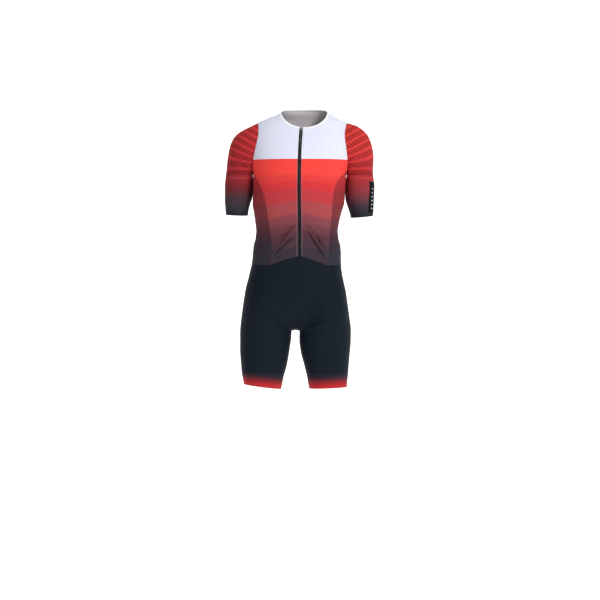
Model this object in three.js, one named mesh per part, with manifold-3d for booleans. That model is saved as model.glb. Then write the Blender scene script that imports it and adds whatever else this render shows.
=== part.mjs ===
// Triathlon suit: a one-piece race suit with short sleeves, a front zip and legs to above the knee,
// in the hollow form that it has when worn. Millimetres, +Z up, the front faces -Y and the
// wearer's left is +X. The origin is between the shoulders, where the wearer carries the suit.

import * as THREE from 'three';
import { mergeVertices } from 'three/addons/utils/BufferGeometryUtils.js';
import Module from 'manifold-3d';

// Cloth and seams
const CLOTH = 1.2;
const BAND_CLOTH = 1.7;
const BINDING = { width: 4, thickness: 2.2, proud: 0.5 };
const SEAM_GAP = 0.3;

// Body of the suit, level section by level section: the middle and half width seen from the front,
// the front, widest and back depths, and how square the section is
const BODY = [
  { z: 24, middle: 14.5, half: 62, front: -14, widest: 26, back: 72, square: 2.0 },
  { z: 0, middle: 14.5, half: 80, front: -32, widest: 24, back: 76, square: 2.0 },
  { z: -20, middle: 9, half: 117, front: -44, widest: 19, back: 84, square: 2.05 },
  { z: -36, middle: 8, half: 148, front: -52, widest: 15, back: 89, square: 2.15 },
  { z: -75, middle: 5, half: 162, front: -76, widest: 10, back: 98, square: 2.3 },
  { z: -115, middle: 3, half: 167, front: -95, widest: 6, back: 106, square: 2.4 },
  { z: -160, middle: 1, half: 164, front: -108, widest: 4, back: 110, square: 2.45 },
  { z: -218, middle: -1, half: 153, front: -112, widest: 4, back: 106, square: 2.4 },
  { z: -297, middle: -5, half: 152, front: -105, widest: 3, back: 97, square: 2.35 },
  { z: -337, middle: -8, half: 143.5, front: -101, widest: 2, back: 90, square: 2.3 },
  { z: -396, middle: -10, half: 135, front: -99, widest: 2, back: 84, square: 2.3 },
  { z: -455, middle: -10, half: 145, front: -103, widest: 4, back: 96, square: 2.3 },
  { z: -495, middle: -11.5, half: 147, front: -105, widest: 5, back: 106, square: 2.3 },
  { z: -535, middle: -14, half: 153.5, front: -106, widest: 6, back: 114, square: 2.3 },
  { z: -594, middle: -15, half: 167, front: -103, widest: 6, back: 120, square: 2.35 },
  { z: -634, middle: -15, half: 173, front: -96, widest: 6, back: 120, square: 2.35 },
  { z: -673, middle: -15, half: 178, front: -87, widest: 6, back: 115, square: 2.35 },
  { z: -722, middle: -15, half: 183, front: -79, widest: 6, back: 108, square: 2.35 },
];

// Legs, which run up into the hips: the middle and half width of each, and the depth of both
const LEG = [
  { z: -600, right: -103, rightHalf: 79, left: 76, leftHalf: 76, widest: 6, depth: 101 },
  { z: -673, right: -110, rightHalf: 83, left: 80.5, leftHalf: 82.5, widest: 6, depth: 98 },
  { z: -722, right: -113, rightHalf: 85, left: 83.5, leftHalf: 85, widest: 6, depth: 95 },
  { z: -752, right: -114, rightHalf: 84, left: 83, leftHalf: 85, widest: 7, depth: 91 },
  { z: -792, right: -117, rightHalf: 81, left: 84, leftHalf: 81, widest: 8, depth: 85 },
  { z: -832, right: -119, rightHalf: 76, left: 87.5, leftHalf: 74, widest: 8, depth: 79 },
  { z: -871, right: -123, rightHalf: 68.5, left: 90.7, leftHalf: 67.6, widest: 9, depth: 74 },
  { z: -910, right: -124, rightHalf: 61, left: 92.4, leftHalf: 62.5, widest: 9, depth: 69 },
];

// Sleeves, ring by ring from the armhole: the outer and inner end of each ring seen from the
// front, its middle depth and half depth. The last two rings bound the cuff hem.
const SLEEVE = {
  left: [
    { outX: 182, outZ: -43, inX: 157.5, inZ: -209, middle: 9, depth: 61 },
    { outX: 206, outZ: -57, inX: 155.5, inZ: -215, middle: 12, depth: 63 },
    { outX: 225, outZ: -77, inX: 153.5, inZ: -222, middle: 16, depth: 63 },
    { outX: 238, outZ: -109, inX: 151.8, inZ: -231, middle: 20, depth: 61 },
    { outX: 244, outZ: -150, inX: 150.6, inZ: -245, middle: 23, depth: 59 },
    { outX: 242, outZ: -196, inX: 149.6, inZ: -263, middle: 25, depth: 56 },
    { outX: 247, outZ: -245, inX: 150.4, inZ: -286, middle: 25, depth: 54 },
    { outX: 245, outZ: -290, inX: 158, inZ: -312, middle: 24, depth: 51 },
    { outX: 243, outZ: -332.5, inX: 166.5, inZ: -339, middle: 23, depth: 48.5 },
    { outX: 242.5, outZ: -341.5, inX: 167.5, inZ: -348, middle: 22, depth: 48 },
  ],
  right: [
    { outX: -165, outZ: -48, inX: -160, inZ: -209, middle: 9, depth: 61 },
    { outX: -191, outZ: -61, inX: -158.3, inZ: -215, middle: 12, depth: 63 },
    { outX: -214, outZ: -78, inX: -156.8, inZ: -222, middle: 16, depth: 63 },
    { outX: -230, outZ: -106, inX: -155.4, inZ: -232, middle: 20, depth: 61 },
    { outX: -239, outZ: -146, inX: -155.2, inZ: -246, middle: 23, depth: 59 },
    { outX: -244, outZ: -192, inX: -155.9, inZ: -263, middle: 25, depth: 56 },
    { outX: -249, outZ: -240, inX: -158, inZ: -282, middle: 25, depth: 54 },
    { outX: -249.5, outZ: -285, inX: -165.5, inZ: -304, middle: 24, depth: 51 },
    { outX: -246.5, outZ: -329, inX: -171.5, inZ: -331.5, middle: 23, depth: 48.5 },
    { outX: -246, outZ: -338, inX: -172, inZ: -340.5, middle: 22, depth: 48 },
  ],
};

// Armhole: a loop round the side of the body, and how far it reaches on to the front and back
const ARMHOLE = { middle: -119.5, half: 84, reach: 30, skew: 0.4, step: 15 };
const YOKE_AT = 120;
const SIDE_PANEL_AT = 150;

// Neckline: its middle, half width, dip at the front and rise at the back
const NECK = { middle: 14.5, half: 80, dip: 60, rise: 12 };

// Level seams: the yoke seam, and the waist seam at the zip, the side seams, the sides and the back
const YOKE_SEAM = { centre: -163, armhole: -161.5 };
const WAIST_SEAM = { zip: -479, front: -508, side: -502, back: -498, centreBack: -489 };

// Front edge of each side panel, seen from the front, as distances across the suit
const SIDE_SEAM = [
  { z: -193, right: -157, left: 151 },
  { z: -218, right: -147, left: 133 },
  { z: -240, right: -134, left: 119 },
  { z: -264, right: -124, left: 111.5 },
  { z: -290, right: -116, left: 108 },
  { z: -320, right: -110, left: 105.5 },
  { z: -366, right: -103, left: 102 },
  { z: -403, right: -97, left: 98.5 },
  { z: -442, right: -93, left: 96.5 },
  { z: -479, right: -96, left: 93 },
  { z: -510, right: -101, left: 91.5 },
];

// Zip, and the path of its middle, which sways a little from its top to the waist seam
const ZIP = { topZ: -57, half: 5.5, chainHalf: 1.35, chainProud: 0.9 };
const ZIP_PATH = [
  { z: -57, x: 3.6 },
  { z: -80, x: 2.5 },
  { z: -101, x: 0.9 },
  { z: -140, x: -1 },
  { z: -160, x: -1.7 },
  { z: -199, x: -2.4 },
  { z: -238, x: -2.9 },
  { z: -316, x: -2.3 },
  { z: -355, x: -1.7 },
  { z: -479, x: -1.6 },
];
const SLIDER = { z: -72, half: 4.5, above: 5, below: 6, plate: 1.6, rear: 1.1 };
const BRIDGE = { half: 0.9, reach: 3.2, leg: 1, rise: 3.2 };
const PULL = { half: 2.8, eyeHalf: 1.5, eyeLength: 6, length: 24, thickness: 1.2, pin: 0.7 };

// Shorts: where the crotch is, where the hips start to part into legs, how much of a leg's turn the
// parting takes, the narrow shelf between the legs, how round the centre seam turns under, and how
// much deeper the cloth is where the hips become legs
const CROTCH = {
  start: -565, z: -718.7, cleft: 0.27, shelf: 0.09, round: 2.6, full: 0.15, seamX: -15, legTop: -722,
};
const HEM = { right: { z: -906, lift: 8 }, left: { z: -910, lift: 2.5 }, liftStart: -820, band: 46 };

// Largest folds: soft troughs on the front, from one end to the other, with a depth and half width
const FOLDS = [
  { x0: 15, z0: -400, x1: 87, z1: -492, depth: 2.6, width: 7 },
  { x0: 10, z0: -372, x1: 86, z1: -474, depth: 1.6, width: 8 },
  { x0: -20, z0: -373, x1: -66, z1: -435, depth: 1.8, width: 8 },
  { x0: -20, z0: -414, x1: -87, z1: -476, depth: 2.6, width: 7 },
  { x0: -90, z0: -690, x1: -28, z1: -716, depth: 3, width: 8 },
  { x0: 66, z0: -692, x1: -2, z1: -714, depth: 3, width: 8 },
];

// Grid steps
const NECK_STEPS = 5;
const SHOULDER_STEPS = 3;
const BACK_NECK_STEPS = 6;
const SIDE_STEPS = (360 - 2 * SIDE_PANEL_AT) / ARMHOLE.step;
const BACK_HALF_STEPS = SHOULDER_STEPS + BACK_NECK_STEPS / 2;
const SIDE_ROWS = [-218, -242, -268, -298, -330, -360, -384, -402, -418, -434, -450, -466, -484];
const SHORTS_ROWS = [-530, -562, -594, -622, -648, -670, -688, -702, -712];
const LEG_ROWS = [-736, -762, -792, -826];

const CLOTH_COLOURS = {
  white: 0xe9e9f5, red: 0xd03a3b, side: 0x6e292e, sleeve: 0xb5393b, dark: 0x2b2a35,
  shorts: 0x181f27, band: 0xb52a2d,
};

const { abs, sin, cos, asin, sqrt, sign, min, max, hypot, exp, PI } = Math;
const radians = degrees => degrees * PI / 180;
const mix = (a, b, t) => a + (b - a) * t;
const smooth = t => {
  const u = min(max(t, 0), 1);
  return u * u * (3 - 2 * u);
};

// A smooth curve through one column of a table, with no overshoot between its rows
function column(rows, name) {
  const at = rows.map(row => row.z);
  const value = rows.map(row => row[name]);
  const secant = i => (value[i + 1] - value[i]) / (at[i + 1] - at[i]);
  const slope = value.map((_, i) => {
    if (i === 0) return secant(0);
    if (i === rows.length - 1) return secant(i - 1);
    const before = secant(i - 1);
    const after = secant(i);
    return before * after <= 0 ? 0 : 2 * before * after / (before + after);
  });
  return z => {
    let i = 0;
    while (i < at.length - 2 && z < at[i + 1]) i++;
    const span = at[i + 1] - at[i];
    const t = min(max((z - at[i]) / span, 0), 1);
    const start = (1 + 2 * t) * (1 - t) ** 2 * value[i] + t * (1 - t) ** 2 * span * slope[i];
    const end = t * t * (3 - 2 * t) * value[i + 1] + t * t * (t - 1) * span * slope[i + 1];
    return start + end;
  };
}

function columns(rows) {
  const names = Object.keys(rows[0]).filter(name => name !== 'z');
  return Object.fromEntries(names.map(name => [name, column(rows, name)]));
}

const body = columns(BODY);
const leg = columns(LEG);
const sideSeam = columns(SIDE_SEAM);

// A point of the body at an angle round it: 0 is the front, 90 the wearer's left, 180 the back
function bodyPoint(angle, z) {
  const power = 2 / body.square(z);
  const s = sin(radians(angle));
  const c = cos(radians(angle));
  const reach = c > 0 ? body.widest(z) - body.front(z) : body.back(z) - body.widest(z);
  return new THREE.Vector3(
    body.middle(z) + body.half(z) * sign(s) * abs(s) ** power,
    body.widest(z) - reach * sign(c) * abs(c) ** power,
    z,
  );
}

// The angle at which the front of the body is x across
function angleAt(x, z) {
  const across = (x - body.middle(z)) / body.half(z);
  return sign(across) * asin(min(abs(across), 1) ** (body.square(z) / 2)) * 180 / PI;
}

const zipX = column(ZIP_PATH, 'x');

// The armhole at an angle round it: 0 is the shoulder, 90 the front, 180 the armpit, 270 the back
function armhole(side, around) {
  const turn = radians(around);
  const reach = ARMHOLE.reach * sin(turn) * (1 + ARMHOLE.skew * cos(turn));
  return [side * (90 - reach), ARMHOLE.middle + ARMHOLE.half * cos(turn)];
}

const front = ([angle, z]) => bodyPoint(angle, z);
const fromBack = ([angle, z]) => bodyPoint(180 - angle, z);
const toBack = ([angle, z]) => [sign(angle) * (180 - abs(angle)), z];

// A grid of angles and heights that fills four edges, each a list of [angle, z]
function fill(top, bottom, left, right) {
  const rows = left.length - 1;
  const steps = top.length - 1;
  return left.map((_, i) => top.map((__, j) => {
    const u = j / steps;
    const v = i / rows;
    return [0, 1].map(k => mix(top[j][k], bottom[j][k], v) + mix(left[i][k], right[i][k], u)
      - mix(mix(top[0][k], top[steps][k], u), mix(bottom[0][k], bottom[steps][k], u), v));
  }));
}

const range = count => Array.from({ length: count + 1 }, (_, i) => i / count);
const edgeBetween = (from, to, count) => range(count).map(t => [mix(from[0], to[0], t), mix(from[1], to[1], t)]);

// Neckline at an angle from the centre to the shoulder, and the shoulder seam from there
function neckPoint(turn, height) {
  const z = height * cos(radians(turn));
  return [angleAt(NECK.middle + NECK.half * sin(radians(turn)), z), z];
}

const shoulderSeam = side => edgeBetween([side * 90, 0], armhole(side, 0), SHOULDER_STEPS);
const armholeSteps = (side, from, to) => {
  const count = abs(to - from) / ARMHOLE.step;
  return range(count).map(t => armhole(side, mix(from, to, t)));
};

const pieces = [];

// A wall of cloth over a grid of points. trim says which edges stop short of a seam, and inside
// is a point that the cloth goes round.
function cloth(name, colour, points, options = {}) {
  pieces.push({
    name, colour, points, closed: false, thickness: CLOTH, proud: 0, folds: false,
    trim: { top: true, bottom: true, left: true, right: true }, ...options,
  });
}

function yokeSeam(side) {
  const from = [angleAt(zipX(YOKE_SEAM.centre) + side * ZIP.half, YOKE_SEAM.centre), YOKE_SEAM.centre];
  return edgeBetween(from, armhole(side, YOKE_AT), NECK_STEPS + SHOULDER_STEPS);
}

function yokeTop(side) {
  const zipEdge = zipX(ZIP.topZ) + side * ZIP.half - NECK.middle;
  const start = asin(zipEdge / NECK.half) * 180 / PI;
  const neck = range(NECK_STEPS).map(t => neckPoint(mix(start, side * 90, t), -NECK.dip));
  return [...neck, ...shoulderSeam(side).slice(1)];
}

function frontYoke(side, name) {
  const top = yokeTop(side);
  const bottom = yokeSeam(side);
  const right = armholeSteps(side, 0, YOKE_AT);
  const left = range(right.length - 1).map(t => {
    const z = mix(top[0][1], YOKE_SEAM.centre, t);
    return [angleAt(zipX(z) + side * ZIP.half, z), z];
  });
  const points = fill(top, bottom, left, right).map(row => row.map(front));
  cloth(name, CLOTH_COLOURS.white, points, { inside: new THREE.Vector3(0, 10, -110) });
}

const seamAngle = (side, z) => angleAt(side > 0 ? sideSeam.left(z) : sideSeam.right(z), z);
const seamRows = (side, bottom) => [
  armhole(side, SIDE_PANEL_AT),
  ...[...SIDE_ROWS, bottom].map(z => [seamAngle(side, z), z]),
];

function frontBody(side, name) {
  const right = [...armholeSteps(side, YOKE_AT, SIDE_PANEL_AT), ...seamRows(side, WAIST_SEAM.front).slice(1)];
  const low = right[0][1];
  const left = right.map(([, z]) => {
    const across = mix(YOKE_SEAM.centre, WAIST_SEAM.zip, (z - low) / (WAIST_SEAM.front - low));
    return [angleAt(zipX(across) + side * ZIP.half, across), across];
  });
  const top = yokeSeam(side);
  const bottom = edgeBetween(left.at(-1), right.at(-1), NECK_STEPS + SHOULDER_STEPS);
  const points = fill(top, bottom, left, right).map(row => row.map(front));
  cloth(name, CLOTH_COLOURS.red, points, { inside: new THREE.Vector3(0, 0, -330), folds: true });
}

// The waist seam from the front seam round the side to the back seam
function sideWaist(side) {
  const from = [seamAngle(side, WAIST_SEAM.front), WAIST_SEAM.front];
  const to = toBack([seamAngle(side, WAIST_SEAM.back), WAIST_SEAM.back]);
  return range(SIDE_STEPS).map(t => {
    const level = t < 0.5 ? mix(from[1], WAIST_SEAM.side, t * 2) : mix(WAIST_SEAM.side, to[1], t * 2 - 1);
    return [mix(from[0], to[0], t), level];
  });
}

function sidePanel(side, name) {
  const top = armholeSteps(side, SIDE_PANEL_AT, 360 - SIDE_PANEL_AT);
  const left = seamRows(side, WAIST_SEAM.front);
  const right = seamRows(side, WAIST_SEAM.back).map(toBack);
  const points = fill(top, sideWaist(side), left, right).map(row => row.map(front));
  cloth(name, CLOTH_COLOURS.side, points, { inside: new THREE.Vector3(0, 0, -350), folds: true });
}

// The back pieces run from the wearer's right to left, with angles from the centre back
const backArmhole = (side, from, to) => armholeSteps(side, 360 - from, 360 - to).map(toBack);

function backYokeSeam() {
  const from = toBack(armhole(-1, 360 - YOKE_AT));
  const to = toBack(armhole(1, 360 - YOKE_AT));
  return edgeBetween(from, to, 2 * BACK_HALF_STEPS);
}

function backYoke(name) {
  const neck = range(BACK_NECK_STEPS).map(t => neckPoint(mix(-90, 90, t), NECK.rise));
  const top = [...shoulderSeam(-1).reverse().slice(0, -1), ...neck, ...shoulderSeam(1).slice(1)];
  const left = backArmhole(-1, 0, YOKE_AT);
  const right = backArmhole(1, 0, YOKE_AT);
  const points = fill(top, backYokeSeam(), left, right).map(row => row.map(fromBack));
  cloth(name, CLOTH_COLOURS.white, points, { inside: new THREE.Vector3(0, 10, -100) });
}

function backWaist() {
  const half = side => edgeBetween(
    [0, WAIST_SEAM.centreBack], [seamAngle(side, WAIST_SEAM.back), WAIST_SEAM.back], BACK_HALF_STEPS);
  return [...half(-1).reverse(), ...half(1).slice(1)];
}

function backBody(name) {
  const edge = side => [
    ...backArmhole(side, YOKE_AT, SIDE_PANEL_AT),
    ...seamRows(side, WAIST_SEAM.back).slice(1),
  ];
  const points = fill(backYokeSeam(), backWaist(), edge(-1), edge(1)).map(row => row.map(fromBack));
  cloth(name, CLOTH_COLOURS.red, points, { inside: new THREE.Vector3(0, 0, -330) });
}

function sleeveRing(row) {
  const middle = new THREE.Vector3((row.outX + row.inX) / 2, row.middle, (row.outZ + row.inZ) / 2);
  const out = new THREE.Vector3((row.outX - row.inX) / 2, 0, (row.outZ - row.inZ) / 2);
  return range(360 / ARMHOLE.step).slice(0, -1).map(t => {
    const turn = 2 * PI * t;
    return middle.clone().addScaledVector(out, cos(turn)).add(new THREE.Vector3(0, -row.depth * sin(turn), 0));
  });
}

function sleeve(side, name, cuffName) {
  const rings = SLEEVE[side > 0 ? 'left' : 'right'].map(sleeveRing);
  const loop = range(360 / ARMHOLE.step).slice(0, -1).map(t => front(armhole(side, 360 * t)));
  cloth(name, CLOTH_COLOURS.sleeve, [loop, ...rings.slice(0, -1)], {
    closed: true, inside: new THREE.Vector3(side * 200, 10, -200), standOff: side * SEAM_GAP,
  });
  cloth(cuffName, CLOTH_COLOURS.dark, rings.slice(-2), {
    closed: true, thickness: BAND_CLOTH, inside: new THREE.Vector3(side * 205, 10, -340),
    trim: { top: true, bottom: false },
  });
}

// The leg at a turn round it: 0 faces the other leg, a quarter is its front, a half its outside
function legPoint(side, turn, z) {
  const lift = side > 0 ? HEM.left : HEM.right;
  const angle = 2 * PI * turn;
  const half = leg[side > 0 ? 'leftHalf' : 'rightHalf'](z);
  const middle = leg[side > 0 ? 'left' : 'right'](z);
  const raised = -lift.lift * cos(angle) * smooth((HEM.liftStart - z) / (HEM.liftStart - lift.z));
  return new THREE.Vector3(
    middle - side * half * cos(angle),
    leg.widest(z) - leg.depth(z) * sin(angle),
    z + raised,
  );
}

const centreSeamX = z => (
  mix(zipX(WAIST_SEAM.zip), CROTCH.seamX, (z - WAIST_SEAM.zip) / (CROTCH.z - WAIST_SEAM.zip)));

// The shorts at a turn round one leg's panel, from the centre front to the centre back
function shortsPoint(side, turn, z) {
  if (z <= CROTCH.legTop) return legPoint(side, turn, z);
  const start = angleAt(centreSeamX(z), z);
  const hip = bodyPoint(mix(start, side * 180, turn), z);
  const down = min(max((CROTCH.start - z) / (CROTCH.start - CROTCH.z), 0), 1);
  const nearSeam = 1 - (1 - down ** CROTCH.round) ** (1 / CROTCH.round);
  const fromSeam = min(turn, 1 - turn);
  const share = mix(nearSeam, smooth(down), smooth(fromSeam / CROTCH.cleft));
  const thigh = legPoint(side, turn, z);
  thigh.x = mix(centreSeamX(z), thigh.x, smooth(fromSeam / CROTCH.shelf));
  const point = hip.lerp(thigh, share);
  point.y = mix(leg.widest(z), point.y, 1 + CROTCH.full * 4 * share * (1 - share));
  return point;
}

// The waist seam all round one side, as turns of the shorts panel and heights
function waistTurns(side) {
  const start = angleAt(centreSeamX(WAIST_SEAM.zip), WAIST_SEAM.zip);
  const zipEdge = angleAt(zipX(WAIST_SEAM.zip) + side * ZIP.half, WAIST_SEAM.zip);
  const seam = [seamAngle(side, WAIST_SEAM.front), WAIST_SEAM.front];
  const panel = edgeBetween([zipEdge, WAIST_SEAM.zip], seam, NECK_STEPS + SHOULDER_STEPS);
  const wholeBack = side > 0 ? backWaist().reverse() : backWaist();
  const back = wholeBack.slice(0, BACK_HALF_STEPS + 1).map(([angle, z]) => [side * (180 - abs(angle)), z]);
  return [[start, WAIST_SEAM.zip], ...panel, ...sideWaist(side).slice(1), ...back.slice(1)];
}

function shorts(side, name, bandName) {
  const hem = side > 0 ? HEM.left : HEM.right;
  const waist = waistTurns(side);
  const even = range(waist.length - 1);
  const top = waist.map(front);
  const start = waist[0][0];
  const turns = waist.map(([angle]) => (angle - start) / (side * 180 - start));
  const seam = hem.z + HEM.band;
  const levels = [...SHORTS_ROWS, CROTCH.z, CROTCH.legTop, ...LEG_ROWS, seam];
  const rows = levels.map(z => even.map((t, j) => {
    const settled = (WAIST_SEAM.front - z) / (WAIST_SEAM.front - seam);
    return shortsPoint(side, mix(turns[j], t, settled), z);
  }));
  const inside = new THREE.Vector3(side * 95 - 15, 6, -700);
  cloth(name, CLOTH_COLOURS.shorts, [top, ...rows], { inside, folds: true });
  const rings = [seam, mix(seam, hem.z, 0.5), hem.z].map(z => even.slice(0, -1).map(t => legPoint(side, t, z)));
  cloth(bandName, CLOTH_COLOURS.band, rings, {
    closed: true, thickness: BAND_CLOTH, inside: new THREE.Vector3(side * 107 - 15, 8, hem.z),
    trim: { top: true, bottom: false },
  });
}

// The zip's rows are those of the front panels, so that their edges lie together
function zipRows() {
  const top = yokeTop(1)[0][1];
  const yoke = range(YOKE_AT / ARMHOLE.step).map(t => mix(top, YOKE_SEAM.centre, t));
  const low = armhole(1, YOKE_AT)[1];
  const lower = [...armholeSteps(1, YOKE_AT, SIDE_PANEL_AT).map(([, z]) => z), ...SIDE_ROWS, WAIST_SEAM.front];
  return [...yoke, ...lower.slice(1).map(z => (
    mix(YOKE_SEAM.centre, WAIST_SEAM.zip, (z - low) / (WAIST_SEAM.front - low))))];
}

function zipStrip(name, from, to, options) {
  const points = (options.rows ?? zipRows()).map(z => [from, to].map(across => {
    const x = zipX(z) + across;
    return bodyPoint(angleAt(x, z), z);
  }));
  cloth(name, 0x15151a, points, { inside: new THREE.Vector3(0, 0, -270), ...options });
}

function zip() {
  const { chainHalf, half, chainProud } = ZIP;
  const trim = { top: true, bottom: true, left: true, right: true };
  zipStrip('zip_tape_right', -half, -chainHalf, { trim });
  zipStrip('zip_tape_left', chainHalf, half, { trim });
  const below = SLIDER.z + 1.5;
  const rows = [below, ...zipRows().filter(z => z < below - 3)];
  zipStrip('zip_chain', -chainHalf, chainHalf, { rows, thickness: CLOTH + chainProud, proud: chainProud, trim });
}

// The outward direction of the body at an angle and height
function bodyNormal(angle, z) {
  const round = bodyPoint(angle + 1, z).sub(bodyPoint(angle - 1, z));
  const up = bodyPoint(angle, z + 1).sub(bodyPoint(angle, z - 1));
  return round.cross(up).normalize();
}

// The binding continues the body beyond the neckline, from one side of the zip round to the other
function neckBinding(name) {
  const half = side => yokeTop(side).slice(0, NECK_STEPS + 1);
  const back = range(BACK_NECK_STEPS).map(t => neckPoint(mix(90, -90, t), NECK.rise));
  const rear = back.slice(1, -1).map(([angle, z]) => [180 - angle, z]);
  const edge = [...half(1), ...rear, ...half(-1).reverse()];
  const points = edge.map(front);
  const inward = edge.map(([angle, z], i) => {
    const along = points[min(i + 1, edge.length - 1)].clone().sub(points[max(i - 1, 0)]);
    return bodyNormal(angle, z).cross(along).normalize();
  });
  const moved = distance => points.map((point, i) => point.clone().addScaledVector(inward[i], distance));
  cloth(name, 0xf6f6fb, [moved(SEAM_GAP / 2), moved(BINDING.width)], {
    thickness: BINDING.thickness, proud: BINDING.proud, inside: new THREE.Vector3(NECK.middle, 12, -60),
    trim: { top: true, bottom: false, left: true, right: true },
  });
}

frontYoke(1, 'yoke_front_left');
frontYoke(-1, 'yoke_front_right');
frontBody(1, 'front_left');
frontBody(-1, 'front_right');
sidePanel(1, 'side_left');
sidePanel(-1, 'side_right');
backYoke('back_yoke');
backBody('back');
sleeve(1, 'sleeve_left', 'cuff_left');
sleeve(-1, 'sleeve_right', 'cuff_right');
neckBinding('neck_binding');
zip();
shorts(1, 'shorts_left', 'leg_band_left');
shorts(-1, 'shorts_right', 'leg_band_right');

// Normals of a grid that point away from the inside
function gridNormals({ points, closed, inside }) {
  const last = points[0].length - 1;
  const normals = points.map((row, i) => row.map((_, j) => {
    const above = points[max(i - 1, 0)][j];
    const below = points[min(i + 1, points.length - 1)][j];
    const before = closed ? row[(j + last) % (last + 1)] : row[max(j - 1, 0)];
    const after = closed ? row[(j + 1) % (last + 1)] : row[min(j + 1, last)];
    return below.clone().sub(above).cross(after.clone().sub(before)).normalize();
  }));
  const away = points.flat().reduce((sum, point, k) => (
    sum + point.clone().sub(inside).normalize().dot(normals.flat()[k])), 0);
  if (away < 0) normals.flat().forEach(normal => normal.negate());
  return normals;
}

// Pieces that meet at a seam share one normal there, so that their walls are mitred
const key = point => point.toArray().map(v => Math.round(v * 20)).join();
const seams = new Map();
for (const piece of pieces) {
  piece.normals = gridNormals(piece);
  piece.points.flat().forEach((point, k) => {
    const sum = seams.get(key(point)) ?? new THREE.Vector3();
    seams.set(key(point), sum.add(piece.normals.flat()[k]));
  });
}
for (const piece of pieces) {
  piece.normals = piece.points.map(row => row.map(point => seams.get(key(point)).clone().normalize()));
}

// How far the largest folds sink a point of the front
function foldDepth({ x, y, z }) {
  if (y > 0) return 0;
  return FOLDS.reduce((sum, { x0, z0, x1, z1, depth, width }) => {
    const length = hypot(x1 - x0, z1 - z0);
    const along = ((x - x0) * (x1 - x0) + (z - z0) * (z1 - z0)) / length ** 2;
    const off = ((x - x0) * (z1 - z0) - (z - z0) * (x1 - x0)) / length;
    const ends = smooth(along / 0.2) * smooth((1 - along) / 0.2);
    return sum + depth * ends * exp(-((off / width) ** 2));
  }, 0);
}

// The points of a grid with its seam edges drawn back by half the gap
function trimmed({ points, closed, trim }) {
  const rows = points.map(row => row.map(point => point.clone()));
  const toward = (point, next) => point.clone().add(next.clone().sub(point).setLength(SEAM_GAP / 2));
  const drawIn = (edge, next) => edge.forEach((point, k) => point.copy(toward(point, next[k])));
  if (trim.top) drawIn(rows[0], rows[1]);
  if (trim.bottom) drawIn(rows.at(-1), rows.at(-2));
  if (!closed && trim.left) drawIn(rows.map(row => row[0]), rows.map(row => row[1]));
  if (!closed && trim.right) drawIn(rows.map(row => row.at(-1)), rows.map(row => row.at(-2)));
  return rows;
}

function wall(piece) {
  const { closed, thickness, proud, normals, folds, standOff } = piece;
  const rows = trimmed(piece);
  if (standOff) rows[0].forEach(point => { point.x += standOff; });
  const count = rows.length;
  const width = rows[0].length;
  const positions = [];
  for (const depth of [proud, proud - thickness]) {
    rows.forEach((row, i) => row.forEach((point, j) => {
      const sink = folds ? foldDepth(point) : 0;
      positions.push(...point.clone().addScaledVector(normals[i][j], depth - sink).toArray());
    }));
  }
  const index = [];
  const at = (layer, i, j) => layer * count * width + i * width + (j % width);
  const quad = (a, b, c, d) => index.push(a, b, c, a, c, d);
  const columnsOf = closed ? width : width - 1;
  for (let i = 0; i < count - 1; i++) {
    for (let j = 0; j < columnsOf; j++) {
      quad(at(0, i, j), at(0, i + 1, j), at(0, i + 1, j + 1), at(0, i, j + 1));
      quad(at(1, i, j), at(1, i, j + 1), at(1, i + 1, j + 1), at(1, i + 1, j));
    }
  }
  for (let j = 0; j < columnsOf; j++) {
    quad(at(0, 0, j), at(0, 0, j + 1), at(1, 0, j + 1), at(1, 0, j));
    quad(at(0, count - 1, j), at(1, count - 1, j), at(1, count - 1, j + 1), at(0, count - 1, j + 1));
  }
  for (let i = 0; !closed && i < count - 1; i++) {
    quad(at(0, i, 0), at(1, i, 0), at(1, i + 1, 0), at(0, i + 1, 0));
    quad(at(0, i, width - 1), at(0, i + 1, width - 1), at(1, i + 1, width - 1), at(1, i, width - 1));
  }
  const geometry = new THREE.BufferGeometry();
  geometry.setAttribute('position', new THREE.Float32BufferAttribute(positions, 3));
  geometry.setIndex(signedVolume(positions, index) < 0 ? index.reverse() : index);
  geometry.computeVertexNormals();
  return geometry;
}

function signedVolume(positions, index) {
  const corner = k => new THREE.Vector3().fromArray(positions, 3 * index[k]);
  let volume = 0;
  for (let k = 0; k < index.length; k += 3) {
    volume += corner(k).dot(corner(k + 1).cross(corner(k + 2))) / 6;
  }
  return volume;
}

const wasm = await Module();
wasm.setup();

function solid(geometry) {
  geometry.deleteAttribute('normal');
  geometry.deleteAttribute('uv');
  const merged = mergeVertices(geometry, 1e-4);
  return new wasm.Manifold(new wasm.Mesh({
    numProp: 3,
    vertProperties: new Float32Array(merged.attributes.position.array),
    triVerts: new Uint32Array(merged.index.array),
  }));
}

function fromSolid(manifold) {
  const mesh = manifold.getMesh();
  const geometry = new THREE.BufferGeometry();
  geometry.setAttribute('position', new THREE.BufferAttribute(mesh.vertProperties, 3));
  geometry.setIndex(new THREE.BufferAttribute(mesh.triVerts, 1));
  return geometry;
}

// A block between two corners
function block(x0, x1, y0, y1, z0, z1) {
  const geometry = new THREE.BoxGeometry(x1 - x0, y1 - y0, z1 - z0);
  return solid(geometry.translate((x0 + x1) / 2, (y0 + y1) / 2, (z0 + z1) / 2));
}

const join = parts => parts.reduce((all, part) => all.add(part));

// Slider and pull tab, in a frame on the zip: y goes into the suit, z up along the zip
const plateFace = -ZIP.chainProud - SEAM_GAP - SLIDER.plate;
const pinDepth = plateFace - SEAM_GAP * 4 / 3 - PULL.pin;
const pinHeight = -BRIDGE.reach + BRIDGE.leg + SEAM_GAP * 4 / 3 + PULL.pin;

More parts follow.
